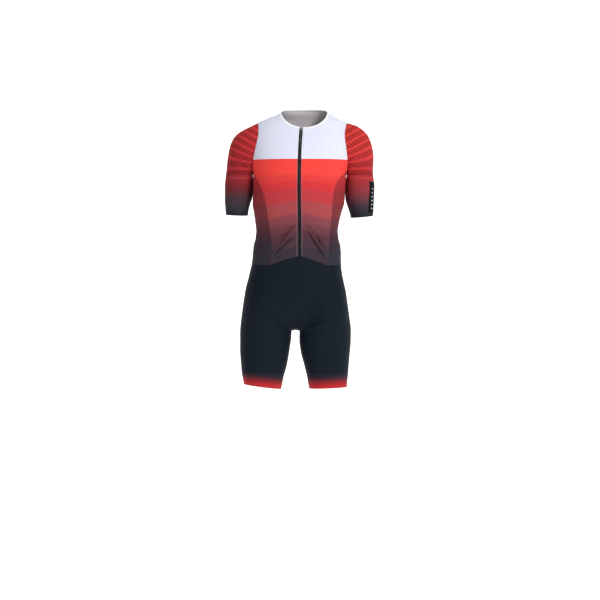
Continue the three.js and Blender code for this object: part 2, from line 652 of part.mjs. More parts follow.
function sliderGeometry() {
  const { half, above, below, plate, rear } = SLIDER;
  const inner = CLOTH + SEAM_GAP * 1.5;
  const post = ZIP.chainHalf - 0.05;
  const arch = plateFace - BRIDGE.rise;
  return fromSolid(join([
    block(-half, half, plateFace, plateFace + plate, -below, above),
    block(-half + 0.5, half - 0.5, inner, inner + rear, -below, above),
    block(-post, post, plateFace + 0.5, inner + 0.5, 2.4, above),
    block(-BRIDGE.half, BRIDGE.half, arch, plateFace + 0.4, -BRIDGE.reach, -BRIDGE.reach + BRIDGE.leg),
    block(-BRIDGE.half, BRIDGE.half, arch, plateFace + 0.4, BRIDGE.reach - BRIDGE.leg, BRIDGE.reach),
    block(-BRIDGE.half, BRIDGE.half, arch, arch + 0.8, -BRIDGE.reach, BRIDGE.reach),
  ]));
}

function pullGeometry() {
  const { half, eyeHalf, eyeLength, length, thickness, pin } = PULL;
  const y0 = pinDepth - thickness / 2;
  const y1 = pinDepth + thickness / 2;
  const bar = new THREE.CylinderGeometry(pin, pin, 2 * half, 10).rotateZ(PI / 2);
  return fromSolid(join([
    solid(bar.translate(0, pinDepth, pinHeight)),
    block(-half, -eyeHalf, y0, y1, pinHeight - eyeLength - 1, pinHeight),
    block(eyeHalf, half, y0, y1, pinHeight - eyeLength - 1, pinHeight),
    block(-half, half, y0, y1, pinHeight - length, pinHeight - eyeLength),
  ]));
}

const suit = new THREE.Group();
suit.name = 'triathlon_suit';

for (const piece of pieces) {
  const material = new THREE.MeshStandardMaterial({ color: piece.colour, roughness: 0.75, metalness: 0 });
  const mesh = new THREE.Mesh(wall(piece), material);
  mesh.name = piece.name;
  suit.add(mesh);
}

function zipFrame() {
  const at = z => bodyPoint(angleAt(zipX(z), z), z);
  const up = at(SLIDER.z + 6).sub(at(SLIDER.z - 6)).setX(0).normalize();
  const across = new THREE.Vector3(1, 0, 0);
  const into = up.clone().cross(across);
  const frame = new THREE.Group();
  frame.quaternion.setFromRotationMatrix(new THREE.Matrix4().makeBasis(across, into, up));
  frame.position.copy(at(SLIDER.z));
  return frame;
}

const frame = zipFrame();
for (const [name, geometry] of [['zip_slider', sliderGeometry()], ['pull_tab', pullGeometry()]]) {
  const material = new THREE.MeshStandardMaterial({ color: 0x16161a, roughness: 0.4, metalness: 0.3 });
  const mesh = new THREE.Mesh(geometry, material);
  mesh.name = name;
  frame.add(mesh);
}
suit.add(frame);

export default suit;
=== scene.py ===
"""A triathlon suit in the hollow form that it has when worn.

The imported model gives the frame. Each cloth piece is a thin shell on the form of its solid, with its
creases, seams and sewing. Tables are in millimetres, with +Z up, the front towards -Y and the
wearer's left at +X.
"""

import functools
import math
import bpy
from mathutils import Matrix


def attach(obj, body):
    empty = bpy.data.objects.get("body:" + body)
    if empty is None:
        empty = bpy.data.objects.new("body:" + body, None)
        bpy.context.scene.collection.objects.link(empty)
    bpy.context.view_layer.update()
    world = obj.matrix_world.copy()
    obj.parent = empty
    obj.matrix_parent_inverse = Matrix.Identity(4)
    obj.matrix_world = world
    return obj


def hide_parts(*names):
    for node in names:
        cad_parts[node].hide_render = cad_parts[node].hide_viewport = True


bl_info = {
    "name": "Triathlon Suit",
    "version": (1, 0, 0),
    "blender": (4, 5, 0),
    "location": "View3D > Sidebar > Triathlon Suit",
    "description": "Builds the cloth, sewing and zip of a triathlon suit round its frame",
    "category": "Add Mesh",
}

import bmesh
import bpy
import numpy as np
from bpy.props import FloatProperty, FloatVectorProperty, PointerProperty
from mathutils import Matrix, Vector

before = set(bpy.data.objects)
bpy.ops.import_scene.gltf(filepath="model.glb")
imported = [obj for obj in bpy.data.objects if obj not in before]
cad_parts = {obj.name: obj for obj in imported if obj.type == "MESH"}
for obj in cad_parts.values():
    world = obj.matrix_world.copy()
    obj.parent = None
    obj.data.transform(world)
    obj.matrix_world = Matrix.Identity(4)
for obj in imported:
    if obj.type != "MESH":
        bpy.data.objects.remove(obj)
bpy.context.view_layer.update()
MM = 0.001
HANDS = {"left": 1, "right": -1}


def table(names, *rows):
    """Rows of numbers as one array for each named column."""
    return {name: np.array(values, float) for name, values in zip(names.split(), zip(*rows))}


# Body of the suit, level section by level section
BODY = table(
    "z middle half front widest back square",
    (24, 14.5, 62, -14, 26, 72, 2.0),
    (0, 14.5, 80, -32, 24, 76, 2.0),
    (-20, 9, 117, -44, 19, 84, 2.05),
    (-36, 8, 148, -52, 15, 89, 2.15),
    (-75, 5, 162, -76, 10, 98, 2.3),
    (-115, 3, 167, -95, 6, 106, 2.4),
    (-160, 1, 164, -108, 4, 110, 2.45),
    (-218, -1, 153, -112, 4, 106, 2.4),
    (-297, -5, 152, -105, 3, 97, 2.35),
    (-337, -8, 143.5, -101, 2, 90, 2.3),
    (-396, -10, 135, -99, 2, 84, 2.3),
    (-455, -10, 145, -103, 4, 96, 2.3),
    (-495, -11.5, 147, -105, 5, 106, 2.3),
    (-535, -14, 153.5, -106, 6, 114, 2.3),
    (-594, -15, 167, -103, 6, 120, 2.35),
    (-634, -15, 173, -96, 6, 120, 2.35),
    (-673, -15, 178, -87, 6, 115, 2.35),
    (-722, -15, 183, -79, 6, 108, 2.35),
)

# Legs, which run up into the hips
LEG = table(
    "z right right_half left left_half widest depth",
    (-600, -103, 79, 76, 76, 6, 101),
    (-673, -110, 83, 80.5, 82.5, 6, 98),
    (-722, -113, 85, 83.5, 85, 6, 95),
    (-752, -114, 84, 83, 85, 7, 91),
    (-792, -117, 81, 84, 81, 8, 85),
    (-832, -119, 76, 87.5, 74, 8, 79),
    (-871, -123, 68.5, 90.7, 67.6, 9, 74),
    (-910, -124, 61, 92.4, 62.5, 9, 69),
)

# Sleeves, ring by ring from the armhole. The last two rings bound the cuff hem.
SLEEVE = {
    1: table(
        "out_x out_z in_x in_z middle depth",
        (182, -43, 155.2, -209, 9, 61),
        (206, -57, 153.0, -215, 12, 63),
        (225, -77, 152.0, -222, 16, 63),
        (238, -109, 151.4, -231, 20, 61),
        (244, -150, 150.6, -245, 23, 59),
        (242, -196, 149.6, -263, 25, 56),
        (247, -245, 150.4, -286, 25, 54),
        (245, -290, 158, -312, 24, 51),
        (243, -332.5, 166.5, -339, 23, 48.5),
        (242.5, -341.5, 167.5, -348, 22, 48),
    ),
    -1: table(
        "out_x out_z in_x in_z middle depth",
        (-165, -48, -156.6, -209, 9, 61),
        (-191, -61, -154.8, -215, 12, 63),
        (-214, -78, -154.3, -222, 16, 63),
        (-230, -106, -154.5, -232, 20, 61),
        (-239, -146, -155.2, -246, 23, 59),
        (-244, -192, -155.9, -263, 25, 56),
        (-249, -240, -158, -282, 25, 54),
        (-249.5, -285, -165.5, -304, 24, 51),
        (-246.5, -329, -171.5, -331.5, 23, 48.5),
        (-246, -338, -172, -340.5, 22, 48),
    ),
}

ARMHOLE_MIDDLE = -119.5
ARMHOLE_HALF = 84
ARMHOLE_REACH = 30
ARMHOLE_SKEW = 0.4
YOKE_AT = 120
SIDE_PANEL_AT = 150

NECK_MIDDLE = 14.5
NECK_HALF = 80
NECK_DIP = 60
NECK_RISE = 12
BINDING_WIDTH = 5.6
BINDING_HALF_THICKNESS = 1.1
BINDING_PROUD = 0.5
BINDING_STEP = 2
BINDING_EASE = 5
BINDING_OVER = 1.2
BINDING_SIDES = 20
BINDING_STITCH = 2.9
BINDING_STITCH_HEIGHT = 0.93
BINDING_SPOKE = 0.6
BINDING_FLAT = 0.6
BINDING_ROUND = 0.7

YOKE_SEAM_Z = -163
WAIST_ZIP = -479
WAIST_FRONT = -508
WAIST_SIDE = -502
WAIST_BACK = -498
WAIST_CENTRE_BACK = -489

# Front edge of each side panel, seen from the front
SIDE_SEAM = table(
    "z right left",
    (-193, -157, 151),
    (-218, -147, 133),
    (-240, -134, 119),
    (-264, -124, 111.5),
    (-290, -116, 108),
    (-320, -110, 105.5),
    (-366, -103, 102),
    (-403, -97, 98.5),
    (-442, -93, 96.5),
    (-479, -96, 93),
    (-510, -101, 91.5),
)
SIDE_SEAM_SETTLES = 26

ZIP_TOP_Z = -57
ZIP_PATH = table(
    "z x",
    (-57, 3.6),
    (-80, 2.5),
    (-101, 0.9),
    (-140, -1),
    (-160, -1.7),
    (-199, -2.4),
    (-238, -2.9),
    (-316, -2.3),
    (-355, -1.7),
    (-479, -1.6),
)
ZIP_HALF = 5.5
CHAIN_HALF = 1.35
CHAIN_PROUD = 0.9
COIL_PITCH = 1.4
COIL_WIRE = 0.27
SOLID_CLOTH = 1.2
SOLID_GAP = 0.3

SLIDER_Z = -72
SLIDER_HALF = 4.5
SLIDER_ABOVE = 5
SLIDER_BELOW = 6
SLIDER_PLATE = 1.6
SLIDER_REAR = 1.1
BRIDGE_REACH = 3.2
BRIDGE_LEG = 1.0
BRIDGE_RISE = 3.2
PULL_HALF = 2.8
PULL_EYE_HALF = 1.5
PULL_EYE_LENGTH = 6
PULL_LENGTH = 24
PULL_THICKNESS = 1.2
PULL_PIN = 0.7

CROTCH_START = -565
CROTCH_Z = -718.7
CROTCH_CLEFT = 0.27
CROTCH_SHELF = 0.09
CROTCH_ROUND = 2.6
CROTCH_FULL = 0.15
CROTCH_SEAM_X = -15
LEG_TOP = -722
SHORTS_SETTLE = -530
HEM = {1: {"z": -910, "lift": 2.5}, -1: {"z": -906, "lift": 8}}
HEM_LIFT_START = -820
BAND_HEIGHT = 46

# Grid steps
ARMHOLE_STEP = 2.5
NECK_STEPS = 40
SHOULDER_STEPS = 24
BACK_NECK_STEPS = 48
PANEL_STEPS = NECK_STEPS + SHOULDER_STEPS
BACK_HALF_STEPS = SHOULDER_STEPS + BACK_NECK_STEPS // 2
WAIST_ROWS = 10
HIP_ROWS = 78
HIP_ROWS_END = -700
CROTCH_ROWS = 8
CROTCH_ROWS_START = -702.5
LEG_ROWS = 34
LEG_ROWS_START = -726
LEG_BAND_ROWS = 15
CUFF_ROWS = 6
# Points that round to the same step, of so many in a millimetre, are one point of a seam
SAME_POINT = 20
CLOTH_SHARP = 50
METAL_SHARP = 40
SIDE_STEPS = int((360 - 2 * SIDE_PANEL_AT) / ARMHOLE_STEP)
SEAM_STEPS = 150
RINGS_A_SPAN = 9

# Creases of the body: where each starts and ends on the side that it is seen from, how deep and wide
# it is, and how far its middle bows aside. s is X on the front and back, and Y on the sides.
CREASES = {
    "front": table(
        "s0 z0 s1 z1 depth width bow",
        (8, -366, 94, -500, 6.4, 4.0, 4.5),
        (15, -370, 90, -474, 4.4, 3.8, -3),
        (50, -392, 78, -452, 3.2, 3.6, 3),
        (70, -404, 89, -470, 2.8, 3.4, 3),
        (-14, -368, -70, -446, 6.2, 4.2, 3),
        (-12, -408, -92, -486, 8.0, 4.4, 4),
        (-34, -438, -86, -500, 2.0, 4.0, 3),
        (-104, -662, -58, -676, 2.8, 4.2, 2),
        (-100, -677, -60, -690, 2.8, 4.2, 2),
        (-94, -690, -26, -716, 4.2, 5.0, -4),
        (96, -684, 2, -714, 4.2, 5.0, 4),
        (116, -699, 58, -710, 2.8, 4.2, -2),
        (110, -676, 60, -690, 2.4, 4.2, 2),
    ),
    "back": table(
        "s0 z0 s1 z1 depth width bow",
        (-96, -372, -22, -418, 2.6, 5.5, 4),
        (-88, -404, -8, -446, 3.4, 5.5, 5),
        (-70, -442, -14, -470, 1.8, 5.0, 3),
        (90, -360, 34, -396, 2.0, 5.0, -3),
        (98, -392, 16, -438, 3.2, 5.5, -5),
        (80, -436, 10, -462, 2.2, 5.0, -4),
        (-128, -700, -44, -722, 3.0, 7.0, -5),
        (104, -698, 22, -722, 3.0, 7.0, 5),
        (-150, -838, -100, -846, 1.4, 4.5, 2),
        (68, -842, 120, -850, 1.4, 4.5, -2),
        (-60, -196, -104, -232, 1.6, 6.0, 2),
        (58, -190, 100, -228, 1.6, 6.0, -2),
    ),
    "side": table(
        "s0 z0 s1 z1 depth width bow",
        (-44, -378, 34, -392, 0.4, 8.0, 3),
        (-30, -414, 52, -424, 0.6, 8.0, 4),
        (-50, -446, 14, -452, 0.6, 7.0, 3),
    ),
}

# Soft ridges and troughs of the sleeves. A negative depth is a ridge.
SLEEVE_CREASES = {
    -1: table(
        "s0 z0 s1 z1 depth width bow",
        (-205, -150, -167, -186, -2.0, 4.0, 2),
        (-212, -188, -168, -204, -1.8, 3.6, 2),
        (-200, -164, -168, -196, 1.8, 4.0, 2),
        (-215, -172, -182, -190, 1.0, 4.0, 0),
    ),
    1: table(
        "s0 z0 s1 z1 depth width bow",
        (163, -176, 192, -150, 1.6, 4.5, -2),
        (163, -196, 204, -176, 1.6, 4.5, -2),
        (166, -188, 196, -164, -1.2, 4.0, -2),
    ),
}

# Print of the body: soft-edged bands that darken to the waist, each from its top edge down
BODY_BANDS = [
    (0, "f4473f"), (-216, "e2403e"), (-239, "d2363a"), (-265, "bd3b41"), (-307, "a6484b"),
    (-352, "854249"), (-381, "6d3b43"), (-407, "59343f"), (-432, "4b343e"), (-457, "3d323b"),
]
SIDE_BANDS = [
    (0, "d63c3b"), (-216, "c03539"), (-239, "ae3337"), (-265, "9a3439"), (-307, "86363b"),
    (-352, "6e353b"), (-381, "583039"), (-407, "483039"), (-432, "3d303a"), (-457, "36333d"),
]
BAND_BLEND = 14
BAND_TAIL = 100
BAND_DROOP = 0.2
# The gradient of each sleeve, from the shoulder to the hem. The right sleeve's tones are deeper and fade
# sooner: painted shade, for the side away from the key light, laid over the same print fade.
SHADED_RIGHT_SLEEVE_TONES = [
    (-60, "d43b39"), (-150, "ca353a"), (-190, "bc3037"), (-222, "a32e35"), (-249, "7d2a31"),
    (-282, "50373c"), (-315, "38363e"), (-345, "2a2b34"),
]
LEFT_SLEEVE_TONES = [
    (-60, "e0403b"), (-150, "d83b3b"), (-190, "c73337"), (-225, "b13539"), (-255, "993a3f"),
    (-280, "7c3b41"), (-300, "563840"), (-318, "3b323a"), (-345, "2a2b34"),
]
LEG_BAND_TONES = [
    (48, "1c2028"), (38, "2a2029"), (31, "4d232b"), (22, "86242b"), (12, "ad272c"), (0, "c53034"),
]
# The body's bands droop beyond this distance from the middle, more and more from a top to a full level
DROOP_X = 70
DROOP_TOP = -190
DROOP_FULL = -340
# The folded edge beside the zip: how wide its paler grey strip is, and how much of the grey it mixes in
WELT = 3.2
WELT_SHARE = 0.3

# Print of the sleeves: rows of slanted bars down to a pale line, and below it bars that fade out
SLEEVE_PRINT_ENDS = -221
PRINT_ROW = 27
PRINT_ROW_HALF = 0.34
PRINT_BAR = 8.6
PRINT_SLANT = 0.7
PRINT_EDGE = 0.35
PRINT_DARK = (0.16, 0.1, 0.12, 1)
PRINT_STRENGTH = 0.6
PRINT_FADE = 0.3
PRINT_FADED = -310
PRINT_LINE_HALF = 1.6
PRINT_LINE_SHARE = 0.1
# Its rows tilt up over the shoulder, from a level up and about a distance from the middle
PRINT_TILT = 0.6
PRINT_TILT_Z = -205
PRINT_TILT_RISE = 95
PRINT_TILT_X = 200

# The strip on the left sleeve and the ticks on it, each by its middle and half size on the cloth
PATCH_ACROSS = (18, 30)
PATCH_DOWN = (284, 54)
TICK_ACROSS = (30, 4)
TICK_DOWN = (288, 36)
TICK_PITCH = 13
TICK_HALF = 0.14


def linear(code):
    """A linear colour from an sRGB hex value."""
    parts = [int(code[i:i + 2], 16) / 255 for i in (0, 2, 4)]
    return [c / 12.92 if c <= 0.04045 else ((c + 0.055) / 1.055) ** 2.4 for c in parts]


def colour_property(name, description, code):
    return FloatVectorProperty(
        name=name, description=description, default=linear(code), size=3, min=0, max=1, subtype="COLOR")


class SuitSizes(bpy.types.PropertyGroup):
    """Sizes of the cloth and of its sewing."""

    cloth: FloatProperty(name="Cloth", description="Thickness of the knit", default=1.0 * MM, unit="LENGTH")
    hem: FloatProperty(name="Hem", description="Thickness of the hems", default=1.6 * MM, unit="LENGTH")
    creases: FloatProperty(
        name="Creases", description="Strength of all the creases", default=1, min=0, max=2)
    stitch: FloatProperty(
        name="Stitch", description="Pitch of the stitches", default=3.2 * MM, unit="LENGTH")
    thread: FloatProperty(
        name="Thread", description="Half thickness of the thread", default=0.22 * MM, unit="LENGTH")


class SuitColours(bpy.types.PropertyGroup):
    """Colours of the cloth, thread and zip."""

    yoke: colour_property("Yoke", "White of the yoke", "e2e4f5")
    shorts: colour_property("Shorts", "Charcoal of the shorts", "161e27")
    binding: colour_property("Binding", "White of the neck binding", "fbfbfd")
    zip: colour_property("Zip", "Black of the zip tape", "0b0b0e")
    welt: colour_property("Welt", "Grey of the edges beside the zip", "8d7580")
    reverse: colour_property("Reverse", "Unprinted inside of the knit", "d9d3d8")
    backdrop: colour_property("Backdrop", "Pale floor and backdrop", "f4f4f6")


def between(a, b, t):
    return a + (b - a) * t


def smooth(t):
    u = np.clip(t, 0, 1)
    return u * u * (3 - 2 * u)


def unit(vectors):
    return vectors / np.linalg.norm(vectors, axis=-1, keepdims=True)


def signed_power(value, power):
    return np.sign(value) * np.abs(value) ** power


def wrapped(grid):
    """A grid with its first column once more after the last."""
    return np.concatenate([grid, grid[:, :1]], 1)


def lengths_along(points):
    """The distance of each point from the first, along their line."""
    return np.concatenate([[0], np.cumsum(np.linalg.norm(np.diff(points, axis=0), axis=-1))])


def line_at(where, at, line):
    """Places on a line, whose own points lie at the distances at."""
    return np.stack([np.interp(where, at, line[:, k]) for k in range(3)], -1)


def curve(at, value):
    """A smooth curve through the rows of a table, with no overshoot between them."""
    at = np.asarray(at, float)
    value = np.asarray(value, float)
    if at[0] > at[-1]:
        at, value = at[::-1], value[::-1]
    extra = (1,) * (value.ndim - 1)
    secant = np.diff(value, axis=0) / np.diff(at).reshape(-1, *extra)
    before, after = secant[:-1], secant[1:]
    total = np.where(before + after == 0, 1, before + after)
    inner = np.where(before * after > 0, 2 * before * after / total, 0)
    slope = np.concatenate([secant[:1], inner, secant[-1:]])

    def evaluate(where):
        where = np.asarray(where, float)
        i = np.clip(np.searchsorted(at, where, side="right") - 1, 0, len(at) - 2)
        span = (at[i + 1] - at[i]).reshape(where.shape + extra)
        t = np.clip((where - at[i]).reshape(where.shape + extra) / span, 0, 1)
        start = (1 + 2 * t) * (1 - t) ** 2 * value[i] + t * (1 - t) ** 2 * span * slope[i]
        end = t * t * (3 - 2 * t) * value[i + 1] + t * t * (t - 1) * span * slope[i + 1]
        return start + end

    return evaluate


def columns(rows):
    return {name: curve(rows["z"], values) for name, values in rows.items() if name != "z"}


body = columns(BODY)
leg = columns(LEG)
side_seam = columns(SIDE_SEAM)
zip_x = curve(ZIP_PATH["z"], ZIP_PATH["x"])


def body_point(angle, z):
    """A point of the body: angle 0 is the front, 90 the wearer's left, 180 the back."""
    turn = np.radians(angle)
    s = np.sin(turn)
    c = np.cos(turn)
    power = 2 / body["square"](z)
    reach = np.where(c > 0, body["widest"](z) - body["front"](z), body["back"](z) - body["widest"](z))
    x = body["middle"](z) + body["half"](z) * signed_power(s, power)
    y = body["widest"](z) - reach * signed_power(c, power)
    return np.stack([x, y, z + 0 * x], -1)


def angle_at(x, z):
    """The angle at which the front of the body is x across."""
    across = (x - body["middle"](z)) / body["half"](z)
    return np.sign(across) * np.degrees(np.arcsin(np.minimum(np.abs(across), 1) ** (body["square"](z) / 2)))


def pairs(angle, z):
    return np.stack(np.broadcast_arrays(np.asarray(angle, float), np.asarray(z, float)), -1)


def armhole(side, around):
    """The armhole loop: around 0 is the shoulder, 90 the front, 180 the armpit, 270 the back."""
    turn = np.radians(around)
    reach = ARMHOLE_REACH * np.sin(turn) * (1 + ARMHOLE_SKEW * np.cos(turn))
    return pairs(side * (90 - reach), ARMHOLE_MIDDLE + ARMHOLE_HALF * np.cos(turn))


def armhole_steps(side, start, end):
    return armhole(side, np.linspace(start, end, int(abs(end - start) / ARMHOLE_STEP) + 1))


def on_front(edge):
    return body_point(edge[..., 0], edge[..., 1])


def on_back(edge):
    return body_point(180 - edge[..., 0], edge[..., 1])


def to_back(edge):
    return pairs(np.sign(edge[..., 0]) * (180 - np.abs(edge[..., 0])), edge[..., 1])


def fill(top, bottom, left, right):
    """A grid of angles and heights that fills four edges."""
    u = np.linspace(0, 1, len(top))[None, :, None]
    v = np.linspace(0, 1, len(left))[:, None, None]
    corners = between(between(top[0], top[-1], u), between(bottom[0], bottom[-1], u), v)
    return between(top[None], bottom[None], v) + between(left[:, None], right[:, None], u) - corners


def neck_edge(start, end, height, count):
    turn = np.linspace(start, end, count + 1)
    z = height * np.cos(np.radians(turn))
    return pairs(angle_at(NECK_MIDDLE + NECK_HALF * np.sin(np.radians(turn)), z), z)


def shoulder_seam(side):
    return np.linspace([side * 90, 0], armhole(side, 0), SHOULDER_STEPS + 1)


def yoke_seam(side):
    start = pairs(angle_at(zip_x(YOKE_SEAM_Z) + side * ZIP_HALF, YOKE_SEAM_Z), YOKE_SEAM_Z)
    return np.linspace(start, armhole(side, YOKE_AT), PANEL_STEPS + 1)


def front_neck(side):
    start = math.degrees(math.asin((zip_x(ZIP_TOP_Z) + side * ZIP_HALF - NECK_MIDDLE) / NECK_HALF))
    return neck_edge(start, side * 90, -NECK_DIP, NECK_STEPS)


def front_yoke(side):
    top = np.concatenate([front_neck(side), shoulder_seam(side)[1:]])
    right = armhole_steps(side, 0, YOKE_AT)
    z = np.linspace(top[0, 1], YOKE_SEAM_Z, len(right))
    left = pairs(angle_at(zip_x(z) + side * ZIP_HALF, z), z)
    return on_front(fill(top, yoke_seam(side), left, right))


def seam_angle(side, z):
    return angle_at(side_seam["left" if side > 0 else "right"](z), z)


def seam_rows(side, bottom):
    start = armhole(side, SIDE_PANEL_AT)
    z = np.linspace(start[1], bottom, SEAM_STEPS + 1)
    settled = np.clip((start[1] - z) / SIDE_SEAM_SETTLES, 0, 1)
    free = seam_angle(side, np.minimum(z, start[1] - SIDE_SEAM_SETTLES))
    return pairs(between(start[0], free, settled), z)


def front_body(side):
    upper = armhole_steps(side, YOKE_AT, SIDE_PANEL_AT)
    right = np.concatenate([upper, seam_rows(side, WAIST_FRONT)[1:]])
    low = right[0, 1]
    z = between(YOKE_SEAM_Z, WAIST_ZIP, (right[:, 1] - low) / (WAIST_FRONT - low))
    left = pairs(angle_at(zip_x(z) + side * ZIP_HALF, z), z)
    bottom = np.linspace(left[-1], right[-1], PANEL_STEPS + 1)
    return on_front(fill(yoke_seam(side), bottom, left, right))


def side_waist(side):
    start = pairs(seam_angle(side, WAIST_FRONT), WAIST_FRONT)
    end = to_back(pairs(seam_angle(side, WAIST_BACK), WAIST_BACK))
    t = np.linspace(0, 1, SIDE_STEPS + 1)
    level = np.interp(t, (0, 0.5, 1), (WAIST_FRONT, WAIST_SIDE, WAIST_BACK))
    return pairs(between(start[0], end[0], t), level)


def side_panel(side):
    top = armhole_steps(side, SIDE_PANEL_AT, 360 - SIDE_PANEL_AT)
    left = seam_rows(side, WAIST_FRONT)
    right = to_back(seam_rows(side, WAIST_BACK))
    return on_front(fill(top, side_waist(side), left, right))


def back_armhole(side, start, end):
    return to_back(armhole_steps(side, 360 - start, 360 - end))


def back_yoke_seam():
    start = to_back(armhole(-1, 360 - YOKE_AT))
    return np.linspace(start, to_back(armhole(1, 360 - YOKE_AT)), 2 * BACK_HALF_STEPS + 1)


def back_yoke():
    neck = neck_edge(-90, 90, NECK_RISE, BACK_NECK_STEPS)
    top = np.concatenate([shoulder_seam(-1)[:0:-1], neck, shoulder_seam(1)[1:]])
    left = back_armhole(-1, 0, YOKE_AT)
    right = back_armhole(1, 0, YOKE_AT)
    return on_back(fill(top, back_yoke_seam(), left, right))


def back_waist():
    middle = [0, WAIST_CENTRE_BACK]
    half = {
        side: np.linspace(middle, [seam_angle(side, WAIST_BACK), WAIST_BACK], BACK_HALF_STEPS + 1)
        for side in (-1, 1)
    }
    return np.concatenate([half[-1][::-1], half[1][1:]])


def back_body():
    left, right = (
        np.concatenate([back_armhole(side, YOKE_AT, SIDE_PANEL_AT), seam_rows(side, WAIST_BACK)[1:]])
        for side in (-1, 1)
    )
    return on_back(fill(back_yoke_seam(), back_waist(), left, right))


def sleeve_rings(side):
    """Rings of a sleeve and its cuff, each from the underarm by way of the outside."""
    rows = SLEEVE[side]
    around = np.arange(180, 540, ARMHOLE_STEP)
    turn = np.radians(around)
    outside = np.stack([rows["out_x"], rows["middle"], rows["out_z"]], -1)[:, None]
    underarm = np.stack([rows["in_x"], rows["middle"], rows["in_z"]], -1)[:, None]
    rings = (outside + underarm + (outside - underarm) * np.cos(turn)[:, None]) / 2
    rings[..., 1] -= rows["depth"][:, None] * np.sin(turn)
    loop = on_front(armhole(side, around))
    return curve(np.arange(len(rings) + 1), np.concatenate([loop[None], rings]))


def leg_point(side, turn, z):
    """A point of a leg: turn 0 faces the other leg, a quarter is its front, a half its outside."""
    name = "left" if side > 0 else "right"
    angle = 2 * np.pi * turn
    rise = smooth((HEM_LIFT_START - z) / (HEM_LIFT_START - HEM[side]["z"]))
    return np.stack([
        leg[name](z) - side * leg[name + "_half"](z) * np.cos(angle),
        leg["widest"](z) - leg["depth"](z) * np.sin(angle),
        z - HEM[side]["lift"] * np.cos(angle) * rise,
    ], -1)


def centre_seam_x(z):
    return between(zip_x(WAIST_ZIP), CROTCH_SEAM_X, (z - WAIST_ZIP) / (CROTCH_Z - WAIST_ZIP))


def shorts_point(side, turn, z):
    """A point of the shorts at a turn round one leg's panel, from the centre front to the back."""
    thigh = leg_point(side, turn, z)
    seam_x = centre_seam_x(z)
    start = angle_at(seam_x, z)
    hip = body_point(between(start, side * 180, turn), z)
    down = np.clip((CROTCH_START - z) / (CROTCH_START - CROTCH_Z), 0, 1)
    near_seam = 1 - (1 - down ** CROTCH_ROUND) ** (1 / CROTCH_ROUND)
    from_seam = np.minimum(turn, 1 - turn)
    share = between(near_seam, smooth(down), smooth(from_seam / CROTCH_CLEFT))
    shelf = thigh.copy()
    shelf[..., 0] = between(seam_x, thigh[..., 0], smooth(from_seam / CROTCH_SHELF))
    point = between(hip, shelf, share[..., None])
    widest = leg["widest"](z)
    point[..., 1] = between(widest, point[..., 1], 1 + CROTCH_FULL * 4 * share * (1 - share))
    return np.where((z <= LEG_TOP)[..., None], thigh, point)


def waist_turns(side):
    """The waist seam all round one side, as angles and heights."""
    start = pairs(angle_at(centre_seam_x(WAIST_ZIP), WAIST_ZIP), WAIST_ZIP)
    zip_edge = pairs(angle_at(zip_x(WAIST_ZIP) + side * ZIP_HALF, WAIST_ZIP), WAIST_ZIP)
    panel = np.linspace(zip_edge, [seam_angle(side, WAIST_FRONT), WAIST_FRONT], PANEL_STEPS + 1)
    whole = back_waist()[::-1] if side > 0 else back_waist()
    back = whole[:BACK_HALF_STEPS + 1]
    back[:, 0] = side * (180 - np.abs(back[:, 0]))
    return np.concatenate([start[None], panel, side_waist(side)[1:], back[1:]])


def shorts_levels(side):
    seam = HEM[side]["z"] + BAND_HEIGHT
    return np.concatenate([
        np.linspace(SHORTS_SETTLE, HIP_ROWS_END, HIP_ROWS),
        np.linspace(CROTCH_ROWS_START, CROTCH_Z, CROTCH_ROWS),
        [LEG_TOP],
        np.linspace(LEG_ROWS_START, seam, LEG_ROWS),
    ])


def shorts(side):
    angle, level = waist_turns(side).T
    turns = (angle - angle[0]) / (side * 180 - angle[0])
    even = np.linspace(0, 1, len(turns))
    levels = shorts_levels(side)
    settled = (WAIST_FRONT - levels) / (WAIST_FRONT - levels[-1])
    first = np.linspace(0, 1, WAIST_ROWS + 1)[:-1, None]
    z = np.concatenate([between(level, SHORTS_SETTLE, first), np.repeat(levels[:, None], len(turns), 1)])
    share = np.concatenate([first * settled[0], settled[:, None]])
    return shorts_point(side, between(turns, even, share), z)


def leg_band(side):
    even = np.linspace(0, 1, len(waist_turns(side)))[:-1]
    levels = np.linspace(HEM[side]["z"] + BAND_HEIGHT, HEM[side]["z"], LEG_BAND_ROWS)
    return leg_point(side, even[None, :] + 0 * levels[:, None], levels[:, None] + 0 * even)


class Panel:
    """A piece of cloth as a grid of points, with the directions out of it and lengths along it."""

    def __init__(self, node, points, inside, closed=False, middle=0, sewn="top bottom left right"):
        self.node = node
        self.points = points
        self.closed = closed
        self.sewn = sewn.split()
        self.normals = self.directions(np.array(inside, float))
        self.across = self.lengths(1, closed)
        self.down = self.lengths(0, False)
        self.middle = middle
        self.surface = None

    def directions(self, inside):
        points = self.points
        if self.closed:
            along = np.roll(points, -1, 1) - np.roll(points, 1, 1)
        else:
            along = np.gradient(points, axis=1)
        normals = unit(np.cross(np.gradient(points, axis=0), along))
        return -normals if np.sum((points - inside) * normals) < 0 else normals

    def lengths(self, axis, closed):
        """Distances from the first row or column, with a last column more round a closed piece."""
        points = wrapped(self.points) if closed else self.points
        steps = np.linalg.norm(np.diff(points, axis=axis), axis=-1)
        return np.concatenate([0 * np.take(steps, [0], axis), np.cumsum(steps, axis)], axis)

    def from_edge(self, edge):
        """How far each point lies from one edge of the cloth."""
        width = self.points.shape[1]
        if edge == "left":
            return self.across[:, :width]
        if edge == "right":
            return self.across[:, -1:] - self.across[:, :width]
        return self.down if edge == "top" else self.down[-1:] - self.down


